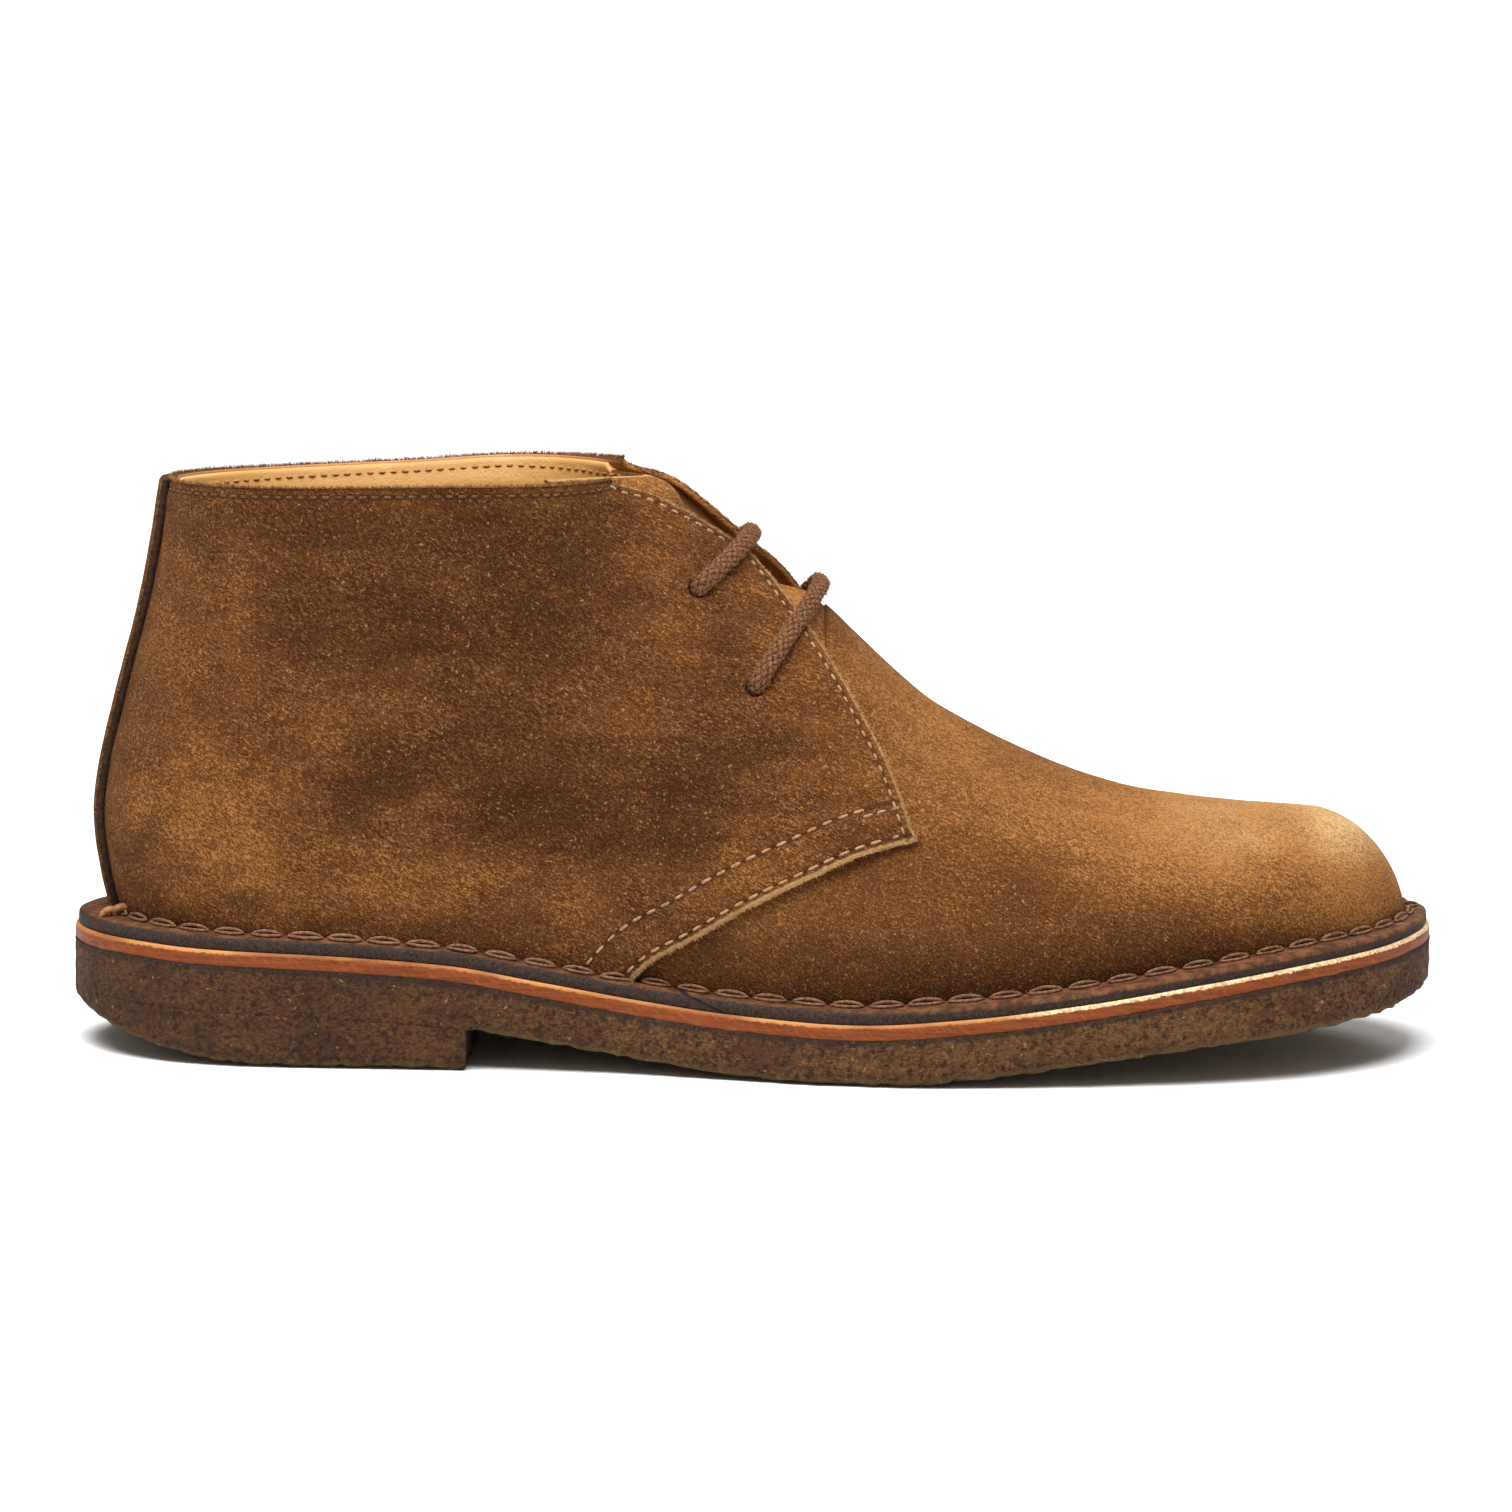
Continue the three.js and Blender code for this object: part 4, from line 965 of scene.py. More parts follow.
# Punched eyelet holes through the quarters
cutter_mesh = bmesh.new()
for along, height, _ in EYELETS.values():
    for side in (-1, 1):
        x, z = REAR + along * UPPER_LENGTH, height * COLLAR_HEIGHT
        at, normal = surface_point(side, x, z, 0.8)
        rotation = Vector(normal).to_track_quat("Z", "Y").to_matrix().to_4x4()
        matrix = Matrix.Translation(Vector(at) * MM) @ rotation
        radius = EYELET_DIAMETER / 2 * MM
        bmesh.ops.create_cone(cutter_mesh, cap_ends=True, segments=28, radius1=radius, radius2=radius,
                              depth=9 * MM, matrix=matrix)
cutter_data = bpy.data.meshes.new("punch")
cutter_mesh.to_mesh(cutter_data)
cutter_mesh.free()
punch = placed("punch", cutter_data)


def plain_copy(obj):
    """Turns the object into what its modifiers make of it, as a plain mesh."""
    graph = bpy.context.evaluated_depsgraph_get()
    mesh = bpy.data.meshes.new_from_object(obj.evaluated_get(graph))
    obj.modifiers.clear()
    obj.data = mesh


for shell in (quarters, lining):
    cut = shell.modifiers.new("punch", "BOOLEAN")
    cut.operation = "DIFFERENCE"
    cut.solver = "EXACT"
    cut.object = punch
    plain_copy(shell)
bpy.data.objects.remove(punch)


# Shader helpers
class Finish:
    """A material with a principled shader and short ways to add nodes."""

    def __init__(self, name, roughness=0.9, **sockets):
        self.material = bpy.data.materials.new(name)
        self.material.use_nodes = True
        self.tree = self.material.node_tree
        self.tree.nodes.clear()
        self.shader = self.tree.nodes.new("ShaderNodeBsdfPrincipled")
        output = self.tree.nodes.new("ShaderNodeOutputMaterial")
        self.tree.links.new(self.shader.outputs[0], output.inputs[0])
        self.shader.inputs["Roughness"].default_value = roughness
        for key, value in sockets.items():
            self.shader.inputs[key.replace("_", " ")].default_value = value
        coordinates = self.tree.nodes.new("ShaderNodeTexCoord")
        self.place = coordinates.outputs["Object"]

    def feed(self, socket, value):
        if isinstance(value, bpy.types.NodeSocket):
            self.tree.links.new(value, socket)
        else:
            socket.default_value = value

    def node(self, kind, settings=(), **values):
        """A new node with its settings, and a value or a link for each named socket."""
        made = self.tree.nodes.new("ShaderNode" + kind)
        for key, value in settings:
            setattr(made, key, value)
        for key, value in values.items():
            self.feed(made.inputs[key.replace("_", " ")], value)
        return made

    def mapped(self, scale, turn=(0, 0, 0), kind="POINT"):
        return self.node("Mapping", (("vector_type", kind),), Vector=self.place, Scale=scale,
                         Rotation=turn).outputs[0]

    def axis(self, number):
        """The place along x, y or z, in metres."""
        return self.node("SeparateXYZ", (), Vector=self.place).outputs[number]

    def noise(self, size, detail=4.0, rough=0.55, vector=None):
        return self.node("TexNoise", (), Vector=vector or self.place, Scale=1000.0 / size, Detail=detail,
                         Roughness=rough).outputs["Fac"]

    def cells(self, size, feature="F1"):
        return self.node("TexVoronoi", (("feature", feature),), Vector=self.place,
                         Scale=1000.0 / size).outputs["Distance"]

    def attribute(self, name):
        return self.node("Attribute", (("attribute_name", name),)).outputs["Fac"]

    def math(self, operation, a, b=0.0, clamp=False):
        node = self.node("Math", (("operation", operation), ("use_clamp", clamp)))
        self.feed(node.inputs[0], a)
        self.feed(node.inputs[1], b)
        return node.outputs[0]

    def add(self, a, b, clamp=False):
        return self.math("ADD", a, b, clamp)

    def less(self, a, b):
        return self.math("SUBTRACT", a, b)

    def times(self, a, b):
        return self.math("MULTIPLY", a, b)

    def swing(self, value, amount):
        """A value from 0 to 1 as one about zero, times the amount."""
        return self.times(self.less(value, 0.5), amount)

    def span(self, value, low, high, to_low=0.0, to_high=1.0):
        node = self.node("MapRange", (("interpolation_type", "SMOOTHSTEP"),), Value=value, From_Min=low,
                         From_Max=high, To_Min=to_low, To_Max=to_high)
        return node.outputs["Result"]

    def mix(self, amount, a, b):
        node = self.node("Mix", (("data_type", "RGBA"),), Factor=amount)
        colours = [s for s in node.inputs if s.type == "RGBA"]
        for socket, value in zip(colours, (a, b)):
            self.feed(socket, value if isinstance(value, bpy.types.NodeSocket) else (*value, 1))
        return [s for s in node.outputs if s.type == "RGBA"][0]

    def bump(self, height, distance, strength=1.0, normal=None):
        node = self.node("Bump", (), Strength=strength, Distance=distance * MM, Height=height)
        if normal is not None:
            self.feed(node.inputs["Normal"], normal)
        return node.outputs[0]

    def done(self, colour, normal=None, roughness=None):
        if not isinstance(colour, bpy.types.NodeSocket):
            colour = (*colour, 1)
        for key, value in (("Base Color", colour), ("Normal", normal), ("Roughness", roughness)):
            if value is not None:
                self.feed(self.shader.inputs[key], value)
        return self.material


# Colours, linear
SUEDE_DARK = (0.038, 0.0135, 0.0045)
SUEDE_MID = (0.105, 0.0392, 0.0112)
SUEDE_LIGHT = (0.34, 0.145, 0.044)
SUEDE_FIBRE = (0.60, 0.31, 0.11)
# Pale tone of the lit toe top: painted light with a sheen-like paleness
SUEDE_PALE_LIT = (0.63, 0.42, 0.190)
SUEDE_EDGE = (0.50, 0.30, 0.13)
LEATHER_TAN = (0.50, 0.275, 0.080)
LEATHER_DEEP = (0.36, 0.12, 0.03)


def suede(name, edges=(), lighter=0.0, shades=(), rows=(), cloudy=1.0):
    """Brushed nap with clouds, tufts and specks; then raw edges, shades, and painted shade in the grooves
    of the needle rows, by their gaps.
    """
    f = Finish(name, 0.95, Specular_IOR_Level=0.04, Sheen_Weight=0.05, Sheen_Roughness=0.5,
               Sheen_Tint=(0.95, 0.60, 0.28, 1))
    cloud = f.noise(13.0, 5.0, 0.6)
    brushed = f.noise(6.0, 4.0, 0.6, f.mapped((0.35, 1.0, 1.3), (0, 0.25, 0)))
    nap_and_light = f.attribute("nap_and_light")
    hush = f.span(nap_and_light, 0.8, 2.0, 1.0, 0.5)
    tone = f.add(f.times(f.math("MINIMUM", nap_and_light, 1.1), 0.30), 0.44 + lighter)
    tone = f.add(tone, f.swing(cloud, 0.5 * cloudy))
    tone = f.add(tone, f.swing(brushed, 0.5 * cloudy))
    tufts = f.noise(0.85, 2.0, 0.65, f.mapped((1.35, 1.0, 0.5), (0, 0.5, 0), "TEXTURE"))
    grit = f.span(tufts, 0.36, 0.66)
    fine = f.span(f.noise(0.38, 1.0, 0.5), 0.34, 0.66)
    calm = 0.45 + 0.55 * cloudy
    depth = f.span(f.noise(9.0, 3.0), 0.35, 0.65, 0.24 * calm, 0.44 * calm)
    grain = f.add(f.swing(grit, depth), f.swing(fine, 0.28))
    tone = f.add(tone, f.times(grain, hush), True)
    colour = f.mix(f.span(tone, 0.0, 0.5), SUEDE_DARK, SUEDE_MID)
    # Painted light: where the tone is highest, on the toe's top, the colour turns pale as if lit and
    # sheened
    light = f.mix(f.span(nap_and_light, 0.8, 2.0, 0.0, 0.9), SUEDE_LIGHT, SUEDE_PALE_LIT)
    colour = f.mix(f.span(tone, 0.4, 1.0), colour, light)
    specks = f.span(f.noise(0.75, 3.0, 0.7), 0.61, 0.68)
    colour = f.mix(f.times(specks, 0.45), colour, SUEDE_FIBRE)
    for gap, width, amount in edges:
        ragged = f.add(f.attribute(gap), f.swing(f.noise(1.3, 3.0), 0.9))
        colour = f.mix(f.times(f.span(ragged, width * 0.4, width, 1.0, 0.0), amount), colour, SUEDE_EDGE)
    for gap, low, high, amount in shades:
        colour = f.mix(f.span(f.attribute(gap), low, high, amount, 0.0), colour, SUEDE_DARK)
    # Painted shade: dark lines in the grooves along the needle rows
    for gap, centre, half, amount in rows:
        away = f.math("ABSOLUTE", f.less(f.attribute(gap), centre))
        colour = f.mix(f.span(away, half * 0.3, half, amount, 0.0), colour, SUEDE_DARK)
    normal = f.bump(f.add(grit, f.times(fine, 0.6)), 0.2, 1.0)
    return f.done(colour, f.bump(f.noise(2.6, 3.0), 0.45, 0.5, normal))


def leather(name, light, deep, roughness=0.5, grain=0.9, fade=None):
    """Smooth leather with a fine grain, deeper in colour where it fades; the fade is painted shade."""
    f = Finish(name, roughness, Specular_IOR_Level=0.35)
    cloud = f.noise(9.0, 4.0)
    amount = f.span(cloud, 0.3, 0.75, 0.0, 0.25)
    # Painted shade: the colour deepens along the given attribute
    if fade:
        attribute, start, end = fade
        amount = f.math("MAXIMUM", amount, f.span(f.attribute(attribute), start, end))
    colour = f.mix(amount, light, deep)
    pores = f.span(f.cells(grain), 0.05, 0.5)
    colour = f.mix(f.times(f.less(1.0, pores), 0.14), colour, deep)
    normal = f.bump(pores, 0.08, 0.6)
    return f.done(colour, normal, f.span(cloud, 0.2, 0.8, roughness - 0.1, roughness + 0.12))


def midsole_finish():
    """Burnished orange edge with the cream line along the front half."""
    f = Finish("midsole_edge", 0.6, Specular_IOR_Level=0.18)
    rise = f.attribute("rise")
    layers = f.noise(1.2, 5.0, 0.65, f.mapped((0.12, 0.12, 2.2)))
    scratches = f.noise(0.5, 3.0, 0.6, f.mapped((6.0, 3.0, 0.8), (0, 0.75, 0), "TEXTURE"))
    streak = f.noise(2.2, 4.0, 0.6, f.mapped((0.4, 0.4, 1.0)))
    colour = f.mix(f.span(layers, 0.3, 0.72), (0.215, 0.048, 0.008), (0.110, 0.023, 0.005))
    colour = f.mix(f.span(scratches, 0.5, 0.72, 0.0, 0.45), colour, (0.32, 0.110, 0.024))
    colour = f.mix(f.span(streak, 0.55, 0.8, 0.0, 0.5), colour, (0.30, 0.085, 0.016))
    ragged = f.add(rise, f.less(f.noise(0.9, 4.0), 0.5))
    patchy = f.span(f.noise(30.0, 2.0), 0.40, 0.60, 0.15, 0.75)
    top_line = f.times(f.span(ragged, 2.25, 2.6), patchy)
    front = f.span(f.axis(0), (CREAM_FROM - 8) * MM, (CREAM_FROM + 6) * MM)
    cream = f.times(f.span(ragged, 2.25, 2.4), front)
    colour = f.mix(top_line, colour, (0.52, 0.24, 0.075))
    fleck = f.span(f.noise(0.7, 3.0), 0.35, 0.65)
    colour = f.mix(cream, colour, f.mix(fleck, (0.40, 0.25, 0.13), (0.74, 0.54, 0.32)))
    foot = f.span(rise, 0.0, 0.35, 0.4, 0.0)
    colour = f.mix(foot, colour, (0.36, 0.13, 0.045))
    return f.done(colour, f.bump(f.add(layers, scratches), 0.12, 0.6),
                  f.span(layers, 0.2, 0.8, 0.45, 0.68))


def crepe_finish():
    """Plantation crepe: mottled, crinkled, dark along its top edge and amber at its lower edge."""
    f = Finish("crepe_rubber", 0.75, Specular_IOR_Level=0.15)
    crinkle = f.span(f.noise(1.3, 5.0, 0.72), 0.38, 0.62)
    strands = f.span(f.noise(0.55, 3.0, 0.65, f.mapped((0.6, 0.6, 1.0), (0.3, 0.5, 0.2))), 0.38, 0.62)
    pits = f.cells(1.5, "SMOOTH_F1")
    patch = f.noise(34.0, 4.0, 0.6)
    colour = f.mix(f.span(patch, 0.38, 0.62), (0.052, 0.0165, 0.0095), (0.122, 0.049, 0.0155))
    red = f.span(f.noise(15.0, 3.0, 0.6), 0.48, 0.62, 0.0, 0.5)
    middling = f.span(f.noise(5.0, 4.0, 0.65), 0.36, 0.64)
    colour = f.mix(f.times(middling, 0.45), colour, (0.205, 0.088, 0.027))
    colour = f.mix(f.times(crinkle, 0.45), colour, (0.170, 0.069, 0.022))
    colour = f.mix(f.times(strands, 0.5), colour, (0.38, 0.180, 0.062))
    colour = f.mix(red, colour, (0.068, 0.023, 0.013))
    dark = f.span(f.noise(1.4, 5.0, 0.7), 0.37, 0.5, 0.75, 0.0)
    colour = f.mix(dark, colour, (0.018, 0.008, 0.005))
    colour = f.mix(f.span(f.axis(0), -0.09, 0.01, 0.4, 0.0), colour, (0.040, 0.016, 0.009))
    flecks = f.span(f.noise(1.6, 2.0, 0.5), 0.69, 0.75, 0.0, 0.8)
    colour = f.mix(flecks, colour, (0.46, 0.28, 0.12))
    stripe = f.add(f.attribute("drop"), f.swing(f.noise(2.0, 4.0), 1.8))
    colour = f.mix(f.span(stripe, 0.45, 1.2, 0.75, 0.0), colour, (0.038, 0.025, 0.018))
    edge = f.add(f.attribute("low"), f.swing(f.noise(2.2, 4.0), 4.0))
    colour = f.mix(f.span(edge, 0.3, 2.0, 0.65, 0.0), colour, (0.22, 0.145, 0.055))
    height = f.add(f.add(crinkle, f.times(pits, 0.9)), f.times(strands, 0.5))
    normal = f.bump(f.less(height, f.times(dark, 0.6)), 0.85, 1.0)
    return f.done(colour, normal, f.span(crinkle, 0.2, 0.8, 0.65, 0.88))


def welt_finish():
    """Waxed brown top, dark charcoal edge."""
    f = Finish("welt_leather", 0.7, Specular_IOR_Level=0.15)
    scuffs = f.noise(2.4, 5.0, 0.65)
    fine = f.noise(0.6, 4.0, 0.7)
    edge = f.mix(f.span(fine, 0.35, 0.7), (0.016, 0.010, 0.007), (0.052, 0.031, 0.022))
    top = f.mix(f.span(scuffs, 0.35, 0.7), (0.048, 0.0175, 0.0072), (0.165, 0.064, 0.024))
    colour = f.mix(f.span(f.attribute("top"), 0.2, 0.75), edge, top)
    slant = f.less(f.axis(0), f.times(f.axis(2), -WELT_SPLICE_SLANT))
    splice = (WELT_SPLICE_X + WELT_SPLICE_SLANT * WELT_SPLICE_Z) * MM
    near = f.span(f.math("ABSOLUTE", f.less(slant, splice)), 0.35 * MM, 0.9 * MM, 0.9, 0.0)
    cut = f.times(near, f.math("LESS_THAN", f.axis(1), 0.0))
    colour = f.mix(cut, colour, (0.008, 0.005, 0.004))
    height = f.less(f.add(scuffs, fine), f.times(cut, 2.0))
    waves = f.bump(f.noise(4.5, 3.0), 0.9, 0.6)
    return f.done(colour, f.bump(height, 0.3, 0.8, waves))


def thread_finish(name, light, dark, size=0.5):
    f = Finish(name, 0.8, Specular_IOR_Level=0.15)
    twist = f.noise(size, 4.0, 0.65)
    colour = f.mix(f.span(twist, 0.3, 0.7), dark, light)
    return f.done(colour, f.bump(twist, 0.12, 0.8))


def lace_finish():
    """Waxed braid: light on the strands, with painted shade in the crevices between them."""
    f = Finish("lace_braid", 0.85, Specular_IOR_Level=0.08)
    over = f.attribute("over")
    fibre = f.noise(0.45, 4.0, 0.75)
    # Painted shade: dark where the strands part, in the braid's crevices
    colour = f.mix(f.span(over, 0.2, 0.95), (0.040, 0.015, 0.006), (0.150, 0.062, 0.027))
    colour = f.mix(f.span(fibre, 0.44, 0.64, 0.0, 0.7), colour, (0.32, 0.155, 0.072))
    return f.done(colour, f.bump(f.add(over, f.times(fibre, 2.0)), 0.16, 0.9))


suede_quarter = suede(
    "suede_quarter", (("front_gap", 0.5, 0.4), ("foot_gap", 1.0, 0.7)), -0.05,
    (("top_gap", 0.2, 1.1, 0.45),),
    (("front_gap", FACING_STITCH_IN, 0.75, 0.6), ("foot_gap", FOOT_STITCH_IN, 0.75, 0.6),
     ("foot_gap", FOOT_SECOND_ROW, 0.8, 0.6), ("top_gap", COLLAR_STITCH_IN, 0.8, 0.7)))
suede_vamp = suede("suede_vamp", (), 0.04, (("shade_gap", 0.6, 3.2, 0.75),), (), 0.5)
# Painted light: the tongue's suede is lighter, as if lit from above
suede_tongue = suede("suede_tongue", (("top_gap", 0.7, 0.7),), 0.16)
suede_cut = suede("suede_cut_edge", (), 0.5, (("top_gap", 0.15, 0.8, 0.75),))
# Painted light and shade: the strip's suede is lighter, as if rim-lit, and darker near its sides, where
# its raised edges stand in shadow
suede_stay = suede("suede_strip", (), 0.22, (("side_gap", 0.9, 2.2, 0.85),))
stay_cut = thread_finish("strip_cut_side", (0.060, 0.028, 0.013), (0.018, 0.009, 0.005), 0.9)
# Painted shade: the lining deepens in colour from 18 to 60 mm below the collar, down inside the shaft
lining_leather = leather("lining_leather", LEATHER_TAN, LEATHER_DEEP, 0.5, 0.9, ("top_gap", 18.0, 60.0))
insole_leather = leather("insole_leather", (0.50, 0.26, 0.09), LEATHER_DEEP, 0.55, 1.1)
inner_leather = leather("inner_leather", (0.42, 0.21, 0.075), LEATHER_DEEP, 0.6, 1.1)
facing_thread = thread_finish("facing_thread", (0.44, 0.255, 0.140), (0.19, 0.093, 0.046))
knot_thread = thread_finish("knot_thread", (0.40, 0.19, 0.075), (0.16, 0.07, 0.028))
# Painted shade: the collar's thread is much darker than the facing's, as thread lying in shade
collar_thread = thread_finish("collar_thread", (0.155, 0.076, 0.036), (0.040, 0.018, 0.009))
lining_thread = thread_finish("lining_thread", (0.46, 0.22, 0.075), (0.20, 0.085, 0.028))
welt_thread = thread_finish("welt_thread", (0.25, 0.125, 0.066), (0.075, 0.033, 0.016), 0.8)
crepe_material = crepe_finish()


def dress(obj, *materials):
    """One finish each for outer face, inner face and cut edge; the faces' numbers outlast the clear."""
    kinds = np.zeros(len(obj.data.polygons), np.int32)
    obj.data.polygons.foreach_get("material_index", kinds)
    obj.data.materials.clear()
    for material in materials:
        obj.data.materials.append(material)
    obj.data.polygons.foreach_set("material_index", np.minimum(kinds, len(materials) - 1))
    obj.data.update()


dress(quarters, suede_quarter, inner_leather, suede_cut)
dress(lining, inner_leather, lining_leather, lining_leather)
dress(vamp, suede_vamp, inner_leather, suede_cut)
dress(tongue, suede_tongue, inner_leather, suede_cut)
dress(backstay, suede_stay, stay_cut, stay_cut)
dress(outsole, crepe_material)
dress(heel, crepe_material)
dress(midsole, midsole_finish())
dress(welt, welt_finish())
braid = lace_finish()
dress(lace_low, braid)
dress(lace_high, braid)
dress(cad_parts["insole"], insole_leather)


# Stitches
def contour(values, level, points, normals, columns):
    """For each row, the place where its values first reach the level, going along the columns."""
    found, facing = [], []
    for i in range(values.shape[0]):
        row = values[i, columns]
        above = np.nonzero(row >= level)[0]
        if len(above) == 0 or above[0] == 0:
            continue
        k = above[0]
        t = (level - row[k - 1]) / (row[k] - row[k - 1])
        a, b = columns[k - 1], columns[k]
        found.append(points[i, a] + (points[i, b] - points[i, a]) * t)
        facing.append(normals[i, a])
    return np.array(found), np.array(facing)


def laid_on(sheet, line, step=0.8):
    """The line in short steps, each point put back on the sheet's outer face."""
    points, facing = line
    run = run_of(points)
    at = np.linspace(0, run[-1], max(int(run[-1] / step), 2))
    path, outward = read_at(at, run, points), read_at(at, run, facing)
    for i, (place, out) in enumerate(zip(path, outward)):
        hit = sheet.ray_cast(Vector((place + out * 3) * MM), Vector(-out), 6 * MM)[0]
        if hit is not None:
            path[i] = np.array(hit) / MM
    return path, outward


def stitch_shape(name, length, width, bow, strands=1, spread=0.0):
    """A bowed thread, or two that part in the middle like an eye."""
    points, faces = [], []
    steps, sides = 9, 7
    for strand in range(strands):
        sign = (1, -1)[strand] if strands == 2 else 0
        base = len(points)
        for i in range(steps):
            t = -1 + 2 * i / (steps - 1)
            radius = width / 2 * (max(0.0, 1 - abs(t) ** 4) ** 0.5 * 0.75 + 0.25)
            arch = 1 - t * t
            centre = Vector((t * length / 2, sign * spread * arch ** 0.8, bow * arch - width * 0.25))
            for k in range(sides):
                angle = 2 * math.pi * k / sides
                points.append(centre + Vector((0, math.cos(angle) * radius, math.sin(angle) * radius)))
        for i in range(steps - 1):
            for k in range(sides):
                a = base + i * sides + k
                b = base + i * sides + (k + 1) % sides
                faces.append((a, a + sides, b + sides, b))
        faces.append(tuple(base + k for k in range(sides)))
        faces.append(tuple(base + (steps - 1) * sides + k for k in reversed(range(sides))))
    return make_object(name, points, faces)


def stitch_tree(shape, material):
    """Sets the shape on each point, turned along the seam and out of the surface."""
    tree = bpy.data.node_groups.new("stitch row", "GeometryNodeTree")
    side = tree.interface
    side.new_socket("Geometry", in_out="INPUT", socket_type="NodeSocketGeometry")
    size = side.new_socket("Thread size", in_out="INPUT", socket_type="NodeSocketFloat")
    spread = side.new_socket("Unevenness", in_out="INPUT", socket_type="NodeSocketFloat")
    seed = side.new_socket("Seed", in_out="INPUT", socket_type="NodeSocketInt")
    side.new_socket("Geometry", in_out="OUTPUT", socket_type="NodeSocketGeometry")
    size.default_value, spread.default_value, seed.default_value = 1.0, 0.1, 3
    new, link = tree.nodes.new, tree.links.new
    start, end = new("NodeGroupInput"), new("NodeGroupOutput")
    put, info = new("GeometryNodeInstanceOnPoints"), new("GeometryNodeObjectInfo")
    join, paint = new("GeometryNodeRealizeInstances"), new("GeometryNodeSetMaterial")
    info.inputs["Object"].default_value = shape
    paint.inputs["Material"].default_value = material
    along, out = new("GeometryNodeInputNamedAttribute"), new("GeometryNodeInputNamedAttribute")
    for node, key in ((along, "along"), (out, "out")):
        node.data_type = "FLOAT_VECTOR"
        node.inputs["Name"].default_value = key
    lay, stand = new("FunctionNodeAlignRotationToVector"), new("FunctionNodeAlignRotationToVector")
    lay.axis, stand.axis, stand.pivot_axis = "X", "Z", "X"
    scatter = new("FunctionNodeRandomValue")
    scatter.data_type = "FLOAT"
    ends = [s for s in scatter.inputs if s.type == "VALUE" and s.enabled]
    value = [s for s in scatter.outputs if s.type == "VALUE" and s.enabled][0]
    for operation, socket in zip(("SUBTRACT", "ADD"), ends):
        node = new("ShaderNodeMath")
        node.operation = operation
        link(start.outputs["Thread size"], node.inputs[0])
        link(start.outputs["Unevenness"], node.inputs[1])
        link(node.outputs[0], socket)
    link(value, put.inputs["Scale"])
    for source, output, target, socket in (
            (start, "Seed", scatter, "Seed"), (along, "Attribute", lay, "Vector"),
            (lay, "Rotation", stand, "Rotation"), (out, "Attribute", stand, "Vector"),
            (start, "Geometry", put, "Points"), (info, "Geometry", put, "Instance"),
            (stand, "Rotation", put, "Rotation"), (put, "Instances", join, "Geometry"),
            (join, "Geometry", paint, "Geometry"), (paint, "Geometry", end, "Geometry")):
        link(source.outputs[output], target.inputs[socket])
    return tree


def stitch_row(name, lines, pitch, shape, material, size=1.0, sink=0.0, shift=0.0):
    """Stitches along lines of (points, normals), as one plain mesh; shift is a share of the pitch."""
    places, directions, outs = [], [], []
    for points, normals in lines:
        at, direction, where, run = resample(points, pitch, shift)
        out = unit(read_at(where, run, normals))
        places.append(at - out * sink)
        directions.append(direction)
        outs.append(out)
    row = make_object(name, np.concatenate(places), [])
    for key, values in (("along", directions), ("out", outs)):
        layer = row.data.attributes.new(key, "FLOAT_VECTOR", "POINT")
        layer.data.foreach_set("vector", np.concatenate(values).astype(np.float32).ravel())
    modifier = row.modifiers.new("stitches", "NODES")
    modifier.node_group = stitch_tree(shape, material)
    names = {s.name: s.identifier for s in modifier.node_group.interface.items_tree if s.in_out == "INPUT"}
    modifier[names["Thread size"]] = size
    modifier[names["Unevenness"]] = STITCH_UNEVENNESS
    plain_copy(row)
    row.data.materials.clear()
    row.data.materials.append(material)
    row.data.polygons.foreach_set("use_smooth", np.ones(len(row.data.polygons), bool))
    for key in ("along", "out"):
        if key in row.data.attributes:
            row.data.attributes.remove(row.data.attributes[key])
    return row


fine_stitch = stitch_shape("fine_stitch", 1.75, 0.66, 0.18)
long_stitch = stitch_shape("long_stitch", 2.4, 0.66, 0.18)
eye_stitch = stitch_shape("eye_stitch", 7.3, 0.78, 0.42, 2, 0.62)

last = quarter_out.shape[1] - 1
facing_lines, foot_lines, second_lines = [], [], []
quarter_sheet = BVHTree.FromPolygons([v.co for v in quarters.data.vertices],
                                     [p.vertices[:] for p in quarters.data.polygons])
for columns in (np.arange(0, SIDE_COLUMNS), np.arange(last, SIDE_COLUMNS, -1)):
    points, facing = contour(both_gap[:FRONT_ROWS - 1], FACING_STITCH_IN, quarter_out, quarter_normal,
                             columns)
    keep = points[:, 2] < COLLAR_HEIGHT * 1.03 - 3
    facing_line = points[keep]
    facing_lines.append((facing_line, facing[keep]))
    low = slice(FRONT_ROWS + 1, None)
    points, out = contour(foot_gap[low], FOOT_STITCH_IN, quarter_out[low], quarter_normal[low], columns)
    keep = points[:, 2] > welt_top(points[:, 0]) + 1.0
    # The foot row starts beside the last stitch of the facing, at the tip
    corner = facing_line[-1]
    start = corner + (points[keep][0] - corner) * 0.2
    foot_lines.append(laid_on(quarter_sheet, (np.vstack([start, points[keep]]),
                                              np.vstack([facing_lines[-1][1][-1], out[keep]]))))
    # The second row runs on to the welt; a short one lies below it at the facing
    for set_in, reach in ((FOOT_SECOND_ROW, 200.0), (FOOT_SECOND_ROW - 1.5, 9.0)):
        points, out = contour(foot_gap, set_in, quarter_out, quarter_normal, columns)
        from_facing = distance_to(points, facing_line)
        keep = (points[:, 2] > welt_top(points[:, 0]) + 1.0) & (from_facing > 1.3)
        keep &= (points[:, 0] < facing_line[:, 0].max()) & (from_facing < reach)
        second_lines.append((points[keep], out[keep]))


def by_column(grid):
    """The grid with its columns as rows, without those at the front edges."""
    return np.swapaxes(grid, 0, 1)[4:last - 3]


